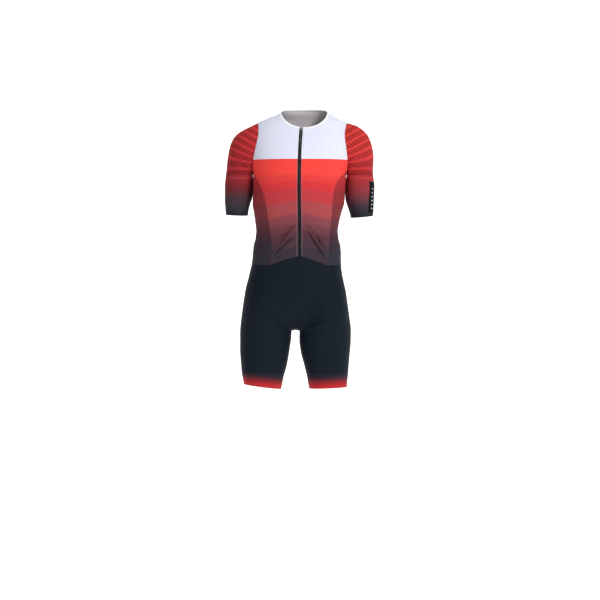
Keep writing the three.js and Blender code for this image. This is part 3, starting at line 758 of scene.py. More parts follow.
def share_seam_normals(pieces):
    """Pieces that meet at a seam get one direction there, so that their walls meet."""
    points = np.concatenate([piece.points.reshape(-1, 3) for piece in pieces])
    normals = np.concatenate([piece.normals.reshape(-1, 3) for piece in pieces])
    _, group = np.unique(np.round(points * SAME_POINT).astype(int), axis=0, return_inverse=True)
    group = group.reshape(-1)
    total = np.zeros((group.max() + 1, 3))
    np.add.at(total, group, normals)
    total = unit(total)
    start = 0
    for piece in pieces:
        count = piece.points.size // 3
        piece.normals = total[group[start:start + count]].reshape(piece.points.shape)
        start += count


# A crease fades in and out over a share of its length, narrows along it, and has a lip at each side,
# the first one higher. The lips' place and width are shares of the crease's width.
CREASE_ENDS = 0.3
CREASE_START_WIDTH = 1.25
CREASE_END_WIDTH = 0.75
LIP_HEIGHTS = {1: 0.5, -1: 0.35}
LIP_AT = 1.9
LIP_WIDTH = 1.1

# Creases hold where the cloth faces their way
SLEEVE_FACING = 2
BODY_FACING = 2.5
SIDE_FACING = 3
SIDE_FACING_FROM = 0.6

SEAM_GROOVE = 0.7
SEAM_GROOVE_WIDTH = 1.0
SEAM_LIP = 0.45
SEAM_LIP_AT = 3.4
SEAM_LIP_WIDTH = 2.4


def crease_depth(rows, s, z):
    """How far the creases of a table sink a point. A low lip runs along each side of a trough."""
    sink = np.zeros_like(s)
    for s0, z0, s1, z1, depth, width, bow in zip(*rows.values()):
        length = math.hypot(s1 - s0, z1 - z0)
        along = ((s - s0) * (s1 - s0) + (z - z0) * (z1 - z0)) / length ** 2
        off = ((s - s0) * (z1 - z0) - (z - z0) * (s1 - s0)) / length
        off = off - bow * 4 * along * (1 - along)
        ends = smooth(along / CREASE_ENDS) * smooth((1 - along) / CREASE_ENDS)
        reach = off / (width * between(CREASE_START_WIDTH, CREASE_END_WIDTH, np.clip(along, 0, 1)))
        lips = sum(
            height * np.exp(-((reach - side * LIP_AT) / LIP_WIDTH) ** 2)
            for side, height in LIP_HEIGHTS.items()
        )
        sink += depth * ends * (np.exp(-(reach ** 2)) - lips)
    return sink


def relief(panel):
    """How far the cloth stands out of its plain form, in millimetres."""
    x, y, z = np.moveaxis(panel.points, -1, 0)
    aside, front, _ = np.moveaxis(panel.normals, -1, 0)
    if panel.node.startswith(("sleeve", "cuff")):
        side = HANDS[panel.node.split("_")[1]]
        creased = [(-front * SLEEVE_FACING, SLEEVE_CREASES[side], x)]
    else:
        creased = [
            (-front * BODY_FACING, CREASES["front"], x),
            (front * BODY_FACING, CREASES["back"], x),
            ((np.abs(aside) - SIDE_FACING_FROM) * SIDE_FACING, CREASES["side"], y),
        ]
    out = np.zeros_like(x)
    for facing, rows, s in creased:
        out -= bpy.context.scene.suit_sizes.creases * smooth(facing) * crease_depth(rows, s, z)
    for edge in panel.sewn:
        away = panel.from_edge(edge)
        out -= SEAM_GROOVE * np.exp(-((away / SEAM_GROOVE_WIDTH) ** 2))
        out += SEAM_LIP * np.exp(-(((away - SEAM_LIP_AT) / SEAM_LIP_WIDTH) ** 2))
    return out


@functools.cache
def panels():
    """Every piece of cloth, laid out once, with one shared direction wherever pieces meet."""
    # Points inside the suit, which tell the outside of a piece from its inside
    chest = (0, 10, -110)
    waist = (0, 0, -330)
    half_ring = int(180 / ARMHOLE_STEP)
    pieces = [
        Panel("back_yoke", back_yoke(), chest, middle=BACK_HALF_STEPS),
        Panel("back", back_body(), waist, middle=BACK_HALF_STEPS),
    ]
    for hand, side in HANDS.items():
        arm = (side * 200, 10, -200)
        wrist = (side * 205, 10, -340)
        hips = (side * 95 - 15, 6, -700)
        thigh = (side * 107 - 15, 8, HEM[side]["z"])
        rings = sleeve_rings(side)
        spans = len(SLEEVE[side]["out_x"])
        sleeve = rings(np.linspace(0, spans - 1, (spans - 1) * RINGS_A_SPAN + 1))
        cuff = rings(np.linspace(spans - 1, spans, CUFF_ROWS))
        half_leg = (len(waist_turns(side)) - 1) // 2
        pieces += [
            Panel(f"yoke_front_{hand}", front_yoke(side), chest),
            Panel(f"front_{hand}", front_body(side), waist),
            Panel(f"side_{hand}", side_panel(side), waist, middle=SIDE_STEPS // 2),
            Panel(f"sleeve_{hand}", sleeve, arm, True, half_ring, "top bottom"),
            Panel(f"cuff_{hand}", cuff, wrist, True, half_ring, "top"),
            Panel(f"shorts_{hand}", shorts(side), hips, middle=half_leg),
            Panel(f"leg_band_{hand}", leg_band(side), thigh, True, half_leg, "top"),
        ]
    share_seam_normals(pieces)
    for piece in pieces:
        piece.surface = piece.points + piece.normals * relief(piece)[..., None]
    return {piece.node: piece for piece in pieces}


def put_in_scene(name, mesh, materials):
    """A smooth object of a mesh, with its materials."""
    for material in materials:
        mesh.materials.append(material)
    mesh.shade_smooth()
    piece = bpy.data.objects.new(name, mesh)
    bpy.context.scene.collection.objects.link(piece)
    return piece


def new_object(name, vertices, faces, materials):
    """An object of points in millimetres."""
    mesh = bpy.data.meshes.new(name)
    mesh.from_pydata((vertices * MM).tolist(), [], faces)
    mesh.update()
    return put_in_scene(name, mesh, materials)


def cloth_uv(panel):
    """Distances over the cloth in metres: across from its middle column, and down from its top."""
    across = panel.across - panel.across[:, panel.middle:panel.middle + 1]
    down = panel.down
    if panel.node.startswith("sleeve"):
        x, _, z = np.moveaxis(panel.points, -1, 0)
        tilt = PRINT_TILT * smooth((z - PRINT_TILT_Z) / PRINT_TILT_RISE)
        down = tilt * (np.abs(x) - PRINT_TILT_X) - z
    if panel.node.startswith("leg_band"):
        down = panel.down[-1:] - panel.down
    if panel.closed:
        down = wrapped(down)
    return np.stack([across, down], -1) * MM


def wall_faces(grid, below, closed):
    """Corners of a wall's outside, inside and rim. The inside's points come that many further on."""
    a, b, c, d = grid[:-1, :-1], grid[1:, :-1], grid[1:, 1:], grid[:-1, 1:]
    quads = [(a, b, c, d), (a + below, d + below, c + below, b + below)]
    rim = [(grid[0, :-1], grid[0, 1:]), (grid[-1, 1:], grid[-1, :-1])]
    if not closed:
        rim += [(grid[1:, 0], grid[:-1, 0]), (grid[:-1, -1], grid[1:, -1])]
    quads += [(start, end, end + below, start + below) for start, end in rim]
    return np.concatenate([np.stack(quad, -1).reshape(-1, 4) for quad in quads])


def shell(panel, thickness, materials):
    """A thin closed wall of cloth. Its inside has the second material."""
    rows, width = panel.surface.shape[:2]
    wide = width + 1 if panel.closed else width
    index = np.arange(rows * width).reshape(rows, width)
    if panel.closed:
        index = wrapped(index)
    faces = wall_faces(index, rows * width, panel.closed)
    corners = wall_faces(np.arange(rows * wide).reshape(rows, wide), 0, panel.closed)
    one_side = (rows - 1) * (wide - 1)
    outer = panel.surface.reshape(-1, 3)
    normals = panel.normals.reshape(-1, 3)
    first, second, _, last = faces[one_side // 2]
    if np.dot(np.cross(outer[second] - outer[first], outer[last] - outer[first]), normals[first]) < 0:
        faces, corners = faces[:, ::-1], corners[:, ::-1]
    vertices = np.concatenate([outer, outer - normals * thickness])
    piece = new_object(panel.node + "_cloth", vertices, faces.tolist(), materials)
    inside = np.zeros(len(faces), int)
    inside[one_side:2 * one_side] = len(materials) - 1
    piece.data.polygons.foreach_set("material_index", inside)
    layer = piece.data.uv_layers.new(name="cloth")
    layer.data.foreach_set("uv", cloth_uv(panel).reshape(-1, 2)[corners.ravel()].ravel())
    piece.data.set_sharp_from_angle(angle=math.radians(CLOTH_SHARP))
    return piece


def sew_on(piece, slot, *nodes):
    """The piece rides on the suit and stands for its nodes."""
    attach(piece, "suit")
    if nodes:
        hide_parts(*nodes)
    return piece


def declare_cut(panel):
    """Takes the lengths down the cloth's rows, and keeps nothing from them."""
    down = np.diff(panel.down, axis=0)
    if panel.closed:
        down = wrapped(down)


def add(tree, kind, inputs=None, **settings):
    """Adds a shader node, with its settings. Each input is a value, a socket, or a node whose first
    output it takes."""
    node = tree.nodes.new("ShaderNode" + kind)
    for name, value in settings.items():
        setattr(node, name, value)
    for name, value in (inputs or {}).items():
        if isinstance(value, bpy.types.Node):
            value = next(out for out in value.outputs if out.enabled)
        if isinstance(value, bpy.types.NodeSocket):
            tree.links.new(value, node.inputs[name])
        else:
            node.inputs[name].default_value = value
    return node


def new_material(name):
    material = bpy.data.materials.new(name)
    material.use_nodes = True
    material.node_tree.nodes.clear()
    return material, material.node_tree


def finish_material(tree, inputs):
    add(tree, "OutputMaterial", {"Surface": add(tree, "BsdfPrincipled", inputs)})


def wave_scale(pitch):
    """The wave texture's scale for a pitch in millimetres."""
    return math.pi / 10 / (pitch * MM)


def ramp_by_height(tree, stops, droop=0.0):
    """A colour by height, through stops in millimetres and hex colour, which droop to both sides."""
    place = add(tree, "SeparateXYZ", {0: add(tree, "TexCoord").outputs["Object"]})
    height = place.outputs["Z"]
    if droop:
        aside = add(tree, "Math", {0: place.outputs["X"]}, operation="ABSOLUTE")
        past = add(tree, "Math", {0: aside, 1: DROOP_X * MM}, operation="SUBTRACT")
        low = add(tree, "MapRange", {
            "Value": height, "From Min": DROOP_TOP * MM, "From Max": DROOP_FULL * MM, "To Max": droop})
        height = add(tree, "Math", {0: past, 1: low, 2: height}, operation="MULTIPLY_ADD")
    return ramp(tree, height, stops)


def ramp(tree, value, stops):
    """A colour ramp by a value in metres, through stops in millimetres and hex colour."""
    stops = sorted(stops)
    low, high = stops[0][0], stops[-1][0]
    share = add(tree, "MapRange", {"Value": value, "From Min": low * MM, "From Max": high * MM})
    node = add(tree, "ValToRGB", {"Fac": share})
    elements = node.color_ramp.elements
    elements.remove(elements[-1])
    elements[0].color = (*linear(stops[0][1]), 1)
    for at, code in stops[1:]:
        elements.new((at - low) / (high - low)).color = (*linear(code), 1)
    return node


def banded(bands):
    """Stops that keep each band's colour up to a soft edge."""
    stops = [(bands[0][0], bands[0][1])]
    for (_, above), (edge, below) in zip(bands, bands[1:]):
        stops += [(edge + BAND_BLEND / 2, above), (edge - BAND_BLEND / 2, below)]
    return [*stops, (bands[-1][0] - BAND_TAIL, bands[-1][1])]


def knit_height(tree, wale, course):
    """Height of a knit's loops: wales side by side and courses one above the other."""
    where = add(tree, "TexCoord").outputs["UV"]
    wales = add(tree, "TexWave", {"Vector": where, "Scale": wave_scale(wale)}, bands_direction="X")
    courses = add(tree, "TexWave", {"Vector": where, "Scale": wave_scale(course)}, bands_direction="Y")
    return add(tree, "Math", {0: wales.outputs["Fac"], 1: courses.outputs["Fac"]}, operation="MULTIPLY")


def knit(name, paint, wale, course, loop, roughness, sheen=0.02, shade=0.88, gloss=0.1):
    """A knitted cloth. paint gives its colour, loop is how far its loops stand out, and shade is how dark the
    painted shade between them is."""
    material, tree = new_material(name)
    height = knit_height(tree, wale, course)
    # Painted shade: the colour dims in the grooves between the loops and is a little paler on their tops
    painted_groove_shade = add(tree, "MapRange", {"Value": height, "To Min": shade, "To Max": 1.03})
    place = add(tree, "TexCoord").outputs["Object"]
    mottle = add(tree, "TexNoise", {"Vector": place, "Scale": 60, "Detail": 3})
    mottled = add(tree, "MapRange", {"Value": mottle, "To Min": 0.95, "To Max": 1.05})
    tone = add(tree, "Math", {0: painted_groove_shade, 1: mottled}, operation="MULTIPLY")
    colour = add(tree, "Mix", {0: 1.0, 6: paint(tree), 7: tone}, data_type="RGBA", blend_type="MULTIPLY")
    finish_material(tree, {
        "Base Color": colour,
        "Roughness": roughness,
        "Normal": add(tree, "Bump", {"Height": height, "Strength": 0.7, "Distance": loop * MM}),
        "Sheen Weight": sheen,
        "Sheen Roughness": 0.45,
        "Specular IOR Level": gloss,
    })
    return material


def plain(colour):
    """Paint of one linear colour."""
    return lambda tree: (*colour, 1)


def inside_of(tree, value, middle, half):
    """One where a value lies within half of its middle, and zero elsewhere, in millimetres."""
    return add(tree, "Math", {0: value, 1: middle * MM, 2: half * MM}, operation="COMPARE")


def front_print(tree):
    """The body's bands, with the paler folded edge beside the zip."""
    colour = ramp_by_height(tree, banded(BODY_BANDS), BAND_DROOP)
    across = add(tree, "SeparateXYZ", {0: add(tree, "TexCoord").outputs["UV"]}).outputs["X"]
    size = add(tree, "Math", {0: across}, operation="ABSOLUTE")
    share = add(tree, "Math", {0: inside_of(tree, size, 0, WELT), 1: WELT_SHARE}, operation="MULTIPLY")
    welt = (*bpy.context.scene.suit_colours.welt, 1)
    return add(tree, "Mix", {0: share, 6: colour, 7: welt}, data_type="RGBA")


def sleeve_print(tree, tones=SHADED_RIGHT_SLEEVE_TONES):
    """Tone on tone rows of slanted bars, as a herringbone, over a red that darkens to the cuff."""
    base = ramp_by_height(tree, tones)
    coords = add(tree, "TexCoord")
    uv = add(tree, "SeparateXYZ", {0: coords.outputs["UV"]})
    row = add(tree, "Math", {0: uv.outputs["Y"], 1: PRINT_ROW * MM}, operation="DIVIDE")
    place = add(tree, "Math", {0: row}, operation="FRACT")
    turned = add(tree, "Math", {0: row, 1: 1.0}, operation="PINGPONG")
    along = add(tree, "Math", {0: uv.outputs["X"], 1: PRINT_BAR * MM}, operation="DIVIDE")
    slanted = add(tree, "Math", {0: turned, 1: PRINT_SLANT, 2: along}, operation="MULTIPLY_ADD")
    angle = add(tree, "Math", {0: slanted, 1: math.tau}, operation="MULTIPLY")
    wave = add(tree, "Math", {0: angle}, operation="SINE")
    bars = add(tree, "MapRange", {"Value": wave, "From Min": -PRINT_EDGE, "From Max": PRINT_EDGE})
    rows = add(tree, "Math", {0: place, 1: 0.5, 2: PRINT_ROW_HALF}, operation="COMPARE")
    height = add(tree, "SeparateXYZ", {0: coords.outputs["Object"]}).outputs["Z"]
    ends = SLEEVE_PRINT_ENDS * MM
    below = add(tree, "Math", {0: height, 1: ends}, operation="LESS_THAN")
    above = add(tree, "Math", {0: height, 1: ends}, operation="GREATER_THAN")
    printed = add(tree, "Math", {0: rows, 1: below}, operation="MAXIMUM")
    mask = add(tree, "Math", {0: bars, 1: printed}, operation="MULTIPLY")
    fade = add(tree, "MapRange", {
        "Value": height, "From Min": PRINT_FADED * MM, "From Max": ends, "To Max": PRINT_FADE})
    strength = add(tree, "Math", {0: above, 1: PRINT_STRENGTH, 2: fade}, operation="MULTIPLY_ADD")
    share = add(tree, "Math", {0: mask, 1: strength}, operation="MULTIPLY")
    dark = add(tree, "Mix", {0: 1.0, 6: base, 7: PRINT_DARK}, data_type="RGBA", blend_type="MULTIPLY")
    marked = add(tree, "Mix", {0: share, 6: base, 7: dark}, data_type="RGBA")
    line = inside_of(tree, height, SLEEVE_PRINT_ENDS, PRINT_LINE_HALF)
    pale = add(tree, "Math", {0: line, 1: PRINT_LINE_SHARE}, operation="MULTIPLY")
    return add(tree, "Mix", {0: pale, 6: marked, 7: (*linear("ef8f8c"), 1)}, data_type="RGBA")


def patched_sleeve_print(tree):
    """The sleeve's print with a black strip on its outside, and plain pale ticks down the strip."""
    base = sleeve_print(tree, LEFT_SLEEVE_TONES)
    uv = add(tree, "SeparateXYZ", {0: add(tree, "TexCoord").outputs["UV"]})
    across, down = uv.outputs["X"], uv.outputs["Y"]
    patch = add(tree, "Math", {
        0: inside_of(tree, across, *PATCH_ACROSS), 1: inside_of(tree, down, *PATCH_DOWN)},
        operation="MULTIPLY")
    strip = add(tree, "Mix", {0: patch, 6: base, 7: (*linear("0c0d11"), 1)}, data_type="RGBA")
    row = add(tree, "Math", {0: down, 1: TICK_PITCH * MM}, operation="DIVIDE")
    place = add(tree, "Math", {0: row}, operation="FRACT")
    ticks = add(tree, "Math", {0: place, 1: 0.5, 2: TICK_HALF}, operation="COMPARE")
    for inside in (inside_of(tree, across, *TICK_ACROSS), inside_of(tree, down, *TICK_DOWN)):
        ticks = add(tree, "Math", {0: ticks, 1: inside}, operation="MULTIPLY")
    return add(tree, "Mix", {0: ticks, 6: strip, 7: (*linear("c9cace"), 1)}, data_type="RGBA")


def leg_band_print(tree):
    uv = add(tree, "SeparateXYZ", {0: add(tree, "TexCoord").outputs["UV"]})
    return ramp(tree, uv.outputs["Y"], LEG_BAND_TONES)


def white_mesh():
    # Polyester mesh, warp-knitted: matt, clean white with a cool cast and fine eyelets
    return knit("polyester_mesh_warp_knitted", plain(bpy.context.scene.suit_colours.yoke),
                wale=1.7, course=2.2, loop=0.25, roughness=0.85, shade=0.93)


def printed_knit():
    # Polyester jersey, dye-sublimated: matt, with the colour in the yarn and a fine grain
    return knit("polyester_jersey_sublimated", front_print,
                wale=1.2, course=1.0, loop=0.15, roughness=0.75, shade=0.93)


def back_knit():
    # The same jersey, whose bands run on over the back
    return knit("polyester_jersey_back_sublimated",
                lambda tree: ramp_by_height(tree, banded(BODY_BANDS), BAND_DROOP),
                wale=1.2, course=1.0, loop=0.15, roughness=0.75, shade=0.93)


def side_knit():
    # Polyester mesh, open warp knit: deep painted shade in its eyelets, between the loops, darkens the print
    return knit("polyester_open_mesh_sublimated", lambda tree: ramp_by_height(tree, banded(SIDE_BANDS)),
                wale=2.4, course=3.0, loop=0.4, roughness=0.85, shade=0.75)


def sleeve_knit(name, paint):
    # Polyester jacquard knit: matt, with fine upright ribs
    return knit(name, paint, wale=2.6, course=1.6, loop=0.3, roughness=0.8, shade=0.85)


def shorts_knit():
    # Nylon and elastane, warp-knitted and calendered: dense and dark, with a low even gloss
    return knit("nylon_elastane_warp_knitted", plain(bpy.context.scene.suit_colours.shorts),
                wale=1.1, course=0.9, loop=0.12, roughness=0.6, sheen=0.0, shade=0.9, gloss=0.04)


def cuff_elastic():
    # Elastane tape, bonded: nearly black, with fine ribs along it
    return knit("elastane_tape_bonded", plain(linear("2a2b34")),
                wale=6.0, course=1.4, loop=0.15, roughness=0.7)


def leg_elastic():
    # Elastane band, printed: fine ribs along it that stretch the red
    return knit("elastane_band_printed", leg_band_print, wale=5.0, course=1.6, loop=0.2, roughness=0.75)


def reverse_knit():
    # The unprinted reverse of the knit: pale loops
    return knit("polyester_knit_reverse", plain(bpy.context.scene.suit_colours.reverse),
                wale=1.4, course=1.4, loop=0.2, roughness=0.9, sheen=0.05, gloss=0.3)


def dark_reverse():
    # The reverse of dyed nylon: the same charcoal, duller
    return knit("nylon_reverse", plain(linear("1b1f25")),
                wale=1.4, course=1.4, loop=0.15, roughness=0.85, sheen=0.05, gloss=0.3)


def binding_material():
    # Elastane binding, folded: smooth, bright white with a fine rib along it
    return knit("elastane_binding_folded", plain(bpy.context.scene.suit_colours.binding),
                wale=1.0, course=1.0, loop=0.1, roughness=0.7, sheen=0.05, shade=0.96, gloss=0.3)


def tape_material():
    # Polyester tape, woven: black with a fine twill
    material, tree = new_material("polyester_tape_woven")
    place = add(tree, "TexCoord").outputs["UV"]
    turned = add(tree, "Mapping", {"Vector": place, "Rotation": (0, 0, math.radians(45))})
    twill = add(tree, "TexWave", {"Vector": turned, "Scale": wave_scale(0.9)}).outputs["Fac"]
    low = (*bpy.context.scene.suit_colours.zip, 1)
    finish_material(tree, {
        "Base Color": add(tree, "Mix", {0: twill, 6: low, 7: (*linear("17171b"), 1)}, data_type="RGBA"),
        "Roughness": 0.75,
        "Normal": add(tree, "Bump", {"Height": twill, "Strength": 0.6, "Distance": 0.15 * MM}),
        "Specular IOR Level": 0.2,
    })
    return material


def speckled(tree, scale, detail, low, high):
    """A colour that runs between two hex colours with a fine grain."""
    place = add(tree, "TexCoord").outputs["Object"]
    grain = add(tree, "TexNoise", {"Vector": place, "Scale": scale, "Detail": detail})
    return add(tree, "Mix", {0: grain, 6: (*linear(low), 1), 7: (*linear(high), 1)}, data_type="RGBA")


def coil_material():
    # Nylon monofilament, extruded: black with a soft plastic gloss
    material, tree = new_material("nylon_coil_extruded")
    colour = speckled(tree, 900, 2, "09090b", "17171b")
    finish_material(tree, {"Base Color": colour, "Roughness": 0.45, "Specular IOR Level": 0.3})
    return material


def enamel_material():
    # Zinc, die-cast and enamelled: black with a satin gloss and paler worn corners
    material, tree = new_material("zinc_enamelled")
    place = add(tree, "TexCoord").outputs["Object"]
    grain = add(tree, "TexNoise", {"Vector": place, "Scale": 1400, "Detail": 4})
    edge = add(tree, "NewGeometry").outputs["Pointiness"]
    worn = add(tree, "MapRange", {"Value": edge, "From Min": 0.53, "From Max": 0.62})
    wear = add(tree, "Math", {0: worn, 1: grain}, operation="MULTIPLY")
    finish_material(tree, {
        "Base Color": add(tree, "Mix", {
            0: wear, 6: (*linear("121317"), 1), 7: (*linear("6f7076"), 1)}, data_type="RGBA"),
        "Roughness": add(tree, "MapRange", {"Value": grain, "To Min": 0.28, "To Max": 0.45}),
        "Metallic": 0.35,
    })
    return material


def thread_material(name, code, painted_lustre):
    # Polyester thread, twisted: a soft sheen, and a fine grain between its colour and a paler one that stands
    # for lustre, a painted highlight
    material, tree = new_material(f"polyester_thread_{name}")
    colour = speckled(tree, 2500, 2, code, painted_lustre)
    finish_material(tree, {"Base Color": colour, "Roughness": 0.6, "Sheen Weight": 0.05})
    return material


def make_cloth(node, slot, materials, thickness, narrow=False):
    """One piece of cloth. A narrow one skips declare_cut."""
    panel = panels()[node]
    piece = shell(panel, thickness / MM, materials)
    sew_on(piece, slot, node)
    if not narrow:
        declare_cut(panel)
    return piece


def offset_line(panel, edge, inset):
    """Points and directions that run along an edge of the cloth, inset from it."""
    grids = [panel.surface, panel.normals, panel.from_edge(edge)]
    if edge in ("left", "right"):
        grids = [np.swapaxes(grid, 0, 1) for grid in grids]
    if edge in ("bottom", "right"):
        grids = [grid[::-1] for grid in grids]
    surface, normals, away = grids
    count = surface.shape[1]
    below = np.clip((away < inset).sum(0), 1, len(away) - 1)
    pick = np.arange(count)
    low, high = away[below - 1, pick], away[below, pick]
    t = np.clip((inset - low) / np.maximum(high - low, 1e-6), 0, 1)[:, None]
    points = between(surface[below - 1, pick], surface[below, pick], t)
    out = between(normals[below - 1, pick], normals[below, pick], t)
    if panel.closed and edge in ("top", "bottom"):
        points = np.concatenate([points, points[:1]])
        out = np.concatenate([out, out[:1]])
    return points, out


STITCH_FILL = 0.74
STITCH_SINK = 0.12
STITCH_RISE = 0.2
STITCH_TAPER = 0.6
STITCH_SIDES = 4
STITCH_SECTIONS = 4


def stitch_row(points, out, pitch, radius):
    """Stitches along a line on the cloth, each a short thread that dives in at both ends."""
    at = lengths_along(points)
    count = int(at[-1] / pitch)
    if count < 1:
        return np.zeros((0, 3)), np.zeros((0, 4), int)
    section = np.linspace(0, 1, STITCH_SECTIONS)
    where = (np.arange(count)[:, None] + 0.5 * (1 - STITCH_FILL) + STITCH_FILL * section) * at[-1] / count
    up = unit(line_at(where, at, out))
    rise = between(-STITCH_SINK, STITCH_RISE, np.sin(np.pi * section))[None, :, None]
    centre = line_at(where, at, points) + up * rise
    aside = np.cross(unit(np.gradient(centre, axis=1)), up)
    turn = np.arange(STITCH_SIDES) * math.tau / STITCH_SIDES
    swell = between(STITCH_TAPER, 1, np.sin(np.pi * section))[None, :, None, None] * radius
    ring = (aside[:, :, None] * np.cos(turn)[:, None] + up[:, :, None] * np.sin(turn)[:, None]) * swell
    vertices = (centre[:, :, None] + ring).reshape(-1, 3)
    one = np.arange(STITCH_SECTIONS * STITCH_SIDES).reshape(STITCH_SECTIONS, STITCH_SIDES)
    after = np.roll(one, -1, 1)
    sides = np.stack([one[:-1], after[:-1], after[1:], one[1:]], -1).reshape(-1, 4)
    faces = np.concatenate([sides, one[:1, ::-1], one[-1:]])
    shift = np.arange(count)[:, None, None] * one.size
    return vertices, (faces[None] + shift).reshape(-1, 4)


# Rows of sewing: the piece, its edges, how far in the row runs, and the thread
SEWING = [
    ("yoke_front", "bottom right top", 1.9, "white"),
    ("yoke_front", "left", 3.6, "white"),
    ("front", "top", 1.9, "red"),
    ("front", "left", 3.6, "grey"),
    ("front", "right bottom", 1.9, "plum"),
    ("side", "top left right bottom", 1.9, "plum"),
    ("sleeve", "top", 1.9, "red"),
    ("cuff", "top bottom", 1.6, "charcoal"),
    ("shorts", "top left right bottom", 1.9, "charcoal"),
    ("leg_band", "top", 1.9, "charcoal"),
    ("leg_band", "bottom", 2.2, "red"),
]
BACK_SEWING = [
    ("back_yoke", "bottom left right top", 1.9, "white"),
    ("back", "top", 1.9, "red"),
    ("back", "left right bottom", 1.9, "plum"),
]
# Each thread: its colour, a paler one for painted lustre, and a slot name
THREADS = {
    "white": ("e3e3ea", "ffffff", "binding"),
    "red": ("8e2429", "c4383a", "red_knit"),
    "plum": ("3a2730", "5f3a44", "red_knit"),
    "grey": ("77656e", "a8979f", "red_knit"),
    "charcoal": ("0d1116", "1a2028", "shorts_knit"),
}


class SUIT_OT_body_cloth(bpy.types.Operator):
    """Makes the yokes, fronts, side panels and back"""

    bl_idname = "suit.body_cloth"
    bl_label = "Body cloth"

    def execute(self, context):
        thickness = context.scene.suit_sizes.cloth
        reverse = reverse_knit()
        white = [white_mesh(), reverse]
        fronts = [printed_knit(), reverse]
        sides = [side_knit(), reverse]
        for hand in HANDS:
            make_cloth(f"yoke_front_{hand}", "white_mesh", white, thickness)
            make_cloth(f"front_{hand}", "red_knit", fronts, thickness)
            make_cloth(f"side_{hand}", "side_mesh", sides, thickness)
        make_cloth("back_yoke", "white_mesh", white, thickness)
        make_cloth("back", "red_knit", [back_knit(), reverse], thickness)
        return {"FINISHED"}


class SUIT_OT_sleeves(bpy.types.Operator):
    """Makes the sleeves and their cuff hems"""

    bl_idname = "suit.sleeves"
    bl_label = "Sleeves"

    def execute(self, context):
        sizes = context.scene.suit_sizes
        reverse = reverse_knit()
        hem = cuff_elastic()
        cloths = {
            "left": sleeve_knit("polyester_jacquard_patched", patched_sleeve_print),
            # The right sleeve's print carries painted shade in its deeper tones
            "right": sleeve_knit("polyester_jacquard_sublimated", sleeve_print),
        }
        for hand, cloth in cloths.items():
            cuff = make_cloth(f"cuff_{hand}", "cuff_elastic", [hem, hem], sizes.hem, narrow=True)
            make_cloth(f"sleeve_{hand}", "sleeve_knit", [cloth, reverse], sizes.cloth)
        return {"FINISHED"}


class SUIT_OT_shorts(bpy.types.Operator):
    """Makes the shorts and their leg bands"""

    bl_idname = "suit.shorts"
    bl_label = "Shorts"

    def execute(self, context):
        sizes = context.scene.suit_sizes
        cloth = [shorts_knit(), dark_reverse()]
        band = [leg_elastic(), cloth[1]]
        for hand in HANDS:
            make_cloth(f"shorts_{hand}", "shorts_knit", cloth, sizes.cloth)
            make_cloth(f"leg_band_{hand}", "leg_elastic", band, sizes.hem)
        return {"FINISHED"}


def body_normal(angle, z):
    around = body_point(angle + 1, z) - body_point(angle - 1, z)
    up = body_point(angle, z + 1) - body_point(angle, z - 1)
    return unit(np.cross(around, up))


def tube_faces(count, sides):
    """Faces of a tube of rings, with both ends closed."""
    one = np.arange(count * sides).reshape(count, sides)
    after = np.roll(one, -1, 1)
    faces = np.stack([one[:-1], after[:-1], after[1:], one[1:]], -1).reshape(-1, 4).tolist()
    return [*faces, one[0, ::-1].tolist(), one[-1].tolist()]


class SUIT_OT_neck_binding(bpy.types.Operator):
    """Makes the folded binding round the neck"""

    bl_idname = "suit.neck_binding"
    bl_label = "Neck binding"

    def execute(self, context):
        sizes = context.scene.suit_sizes
        rear = neck_edge(90, -90, NECK_RISE, 2 * BACK_NECK_STEPS)[1:-1]
        rear[:, 0] = 180 - rear[:, 0]
        edge = np.concatenate([front_neck(1), rear, front_neck(-1)[::-1]])
        corners = on_front(edge)
        at = lengths_along(corners)
        length = np.linspace(0, at[-1], int(at[-1] / BINDING_STEP) + 1)
        points = evened(line_at(length, at, corners))
        out = unit(evened(line_at(length, at, body_normal(edge[:, 0], edge[:, 1]))))
        inward = unit(np.cross(out, np.gradient(points, axis=0)))
        turn = np.arange(BINDING_SIDES) * math.tau / BINDING_SIDES
        half = BINDING_WIDTH / 2
        width = signed_power(np.cos(turn), BINDING_FLAT) * half + half - BINDING_OVER
        depth = signed_power(np.sin(turn), BINDING_ROUND) * BINDING_HALF_THICKNESS
        middle = points + out * (BINDING_PROUD - BINDING_HALF_THICKNESS)
        rings = middle[:, None] + inward[:, None] * width[:, None] + out[:, None] * depth[:, None]
        faces = tube_faces(len(points), BINDING_SIDES)
        piece = new_object("neck_binding_cloth", rings.reshape(-1, 3), faces, [binding_material()])
        make_normals_out(piece.data)
        layer = piece.data.uv_layers.new(name="cloth")
        for loop in piece.data.loops:
            ring, spoke = divmod(loop.vertex_index, BINDING_SIDES)
            layer.data[loop.index].uv = (length[ring] * MM, spoke * BINDING_SPOKE * MM)
        sew_on(piece, "binding", "neck_binding")
        sewn = middle + inward * BINDING_STITCH + out * BINDING_HALF_THICKNESS * BINDING_STITCH_HEIGHT
        row = stitch_row(sewn, out, sizes.stitch / MM, sizes.thread / MM)
        stitches("neck_binding_stitches", [row], "white")
        return {"FINISHED"}


def evened(line):
    """The running mean of a line's points, so that it has no sharp corner. Its ends stay."""
    padded = np.pad(line, ((BINDING_EASE, BINDING_EASE), (0, 0)), mode="reflect", reflect_type="odd")
    share = np.full(2 * BINDING_EASE + 1, 1 / (2 * BINDING_EASE + 1))
    return np.stack([np.convolve(padded[:, k], share, "valid") for k in range(3)], -1)


def make_normals_out(mesh):
    work = bmesh.new()
    work.from_mesh(mesh)
    bmesh.ops.recalc_face_normals(work, faces=work.faces)
    work.to_mesh(mesh)
    work.free()


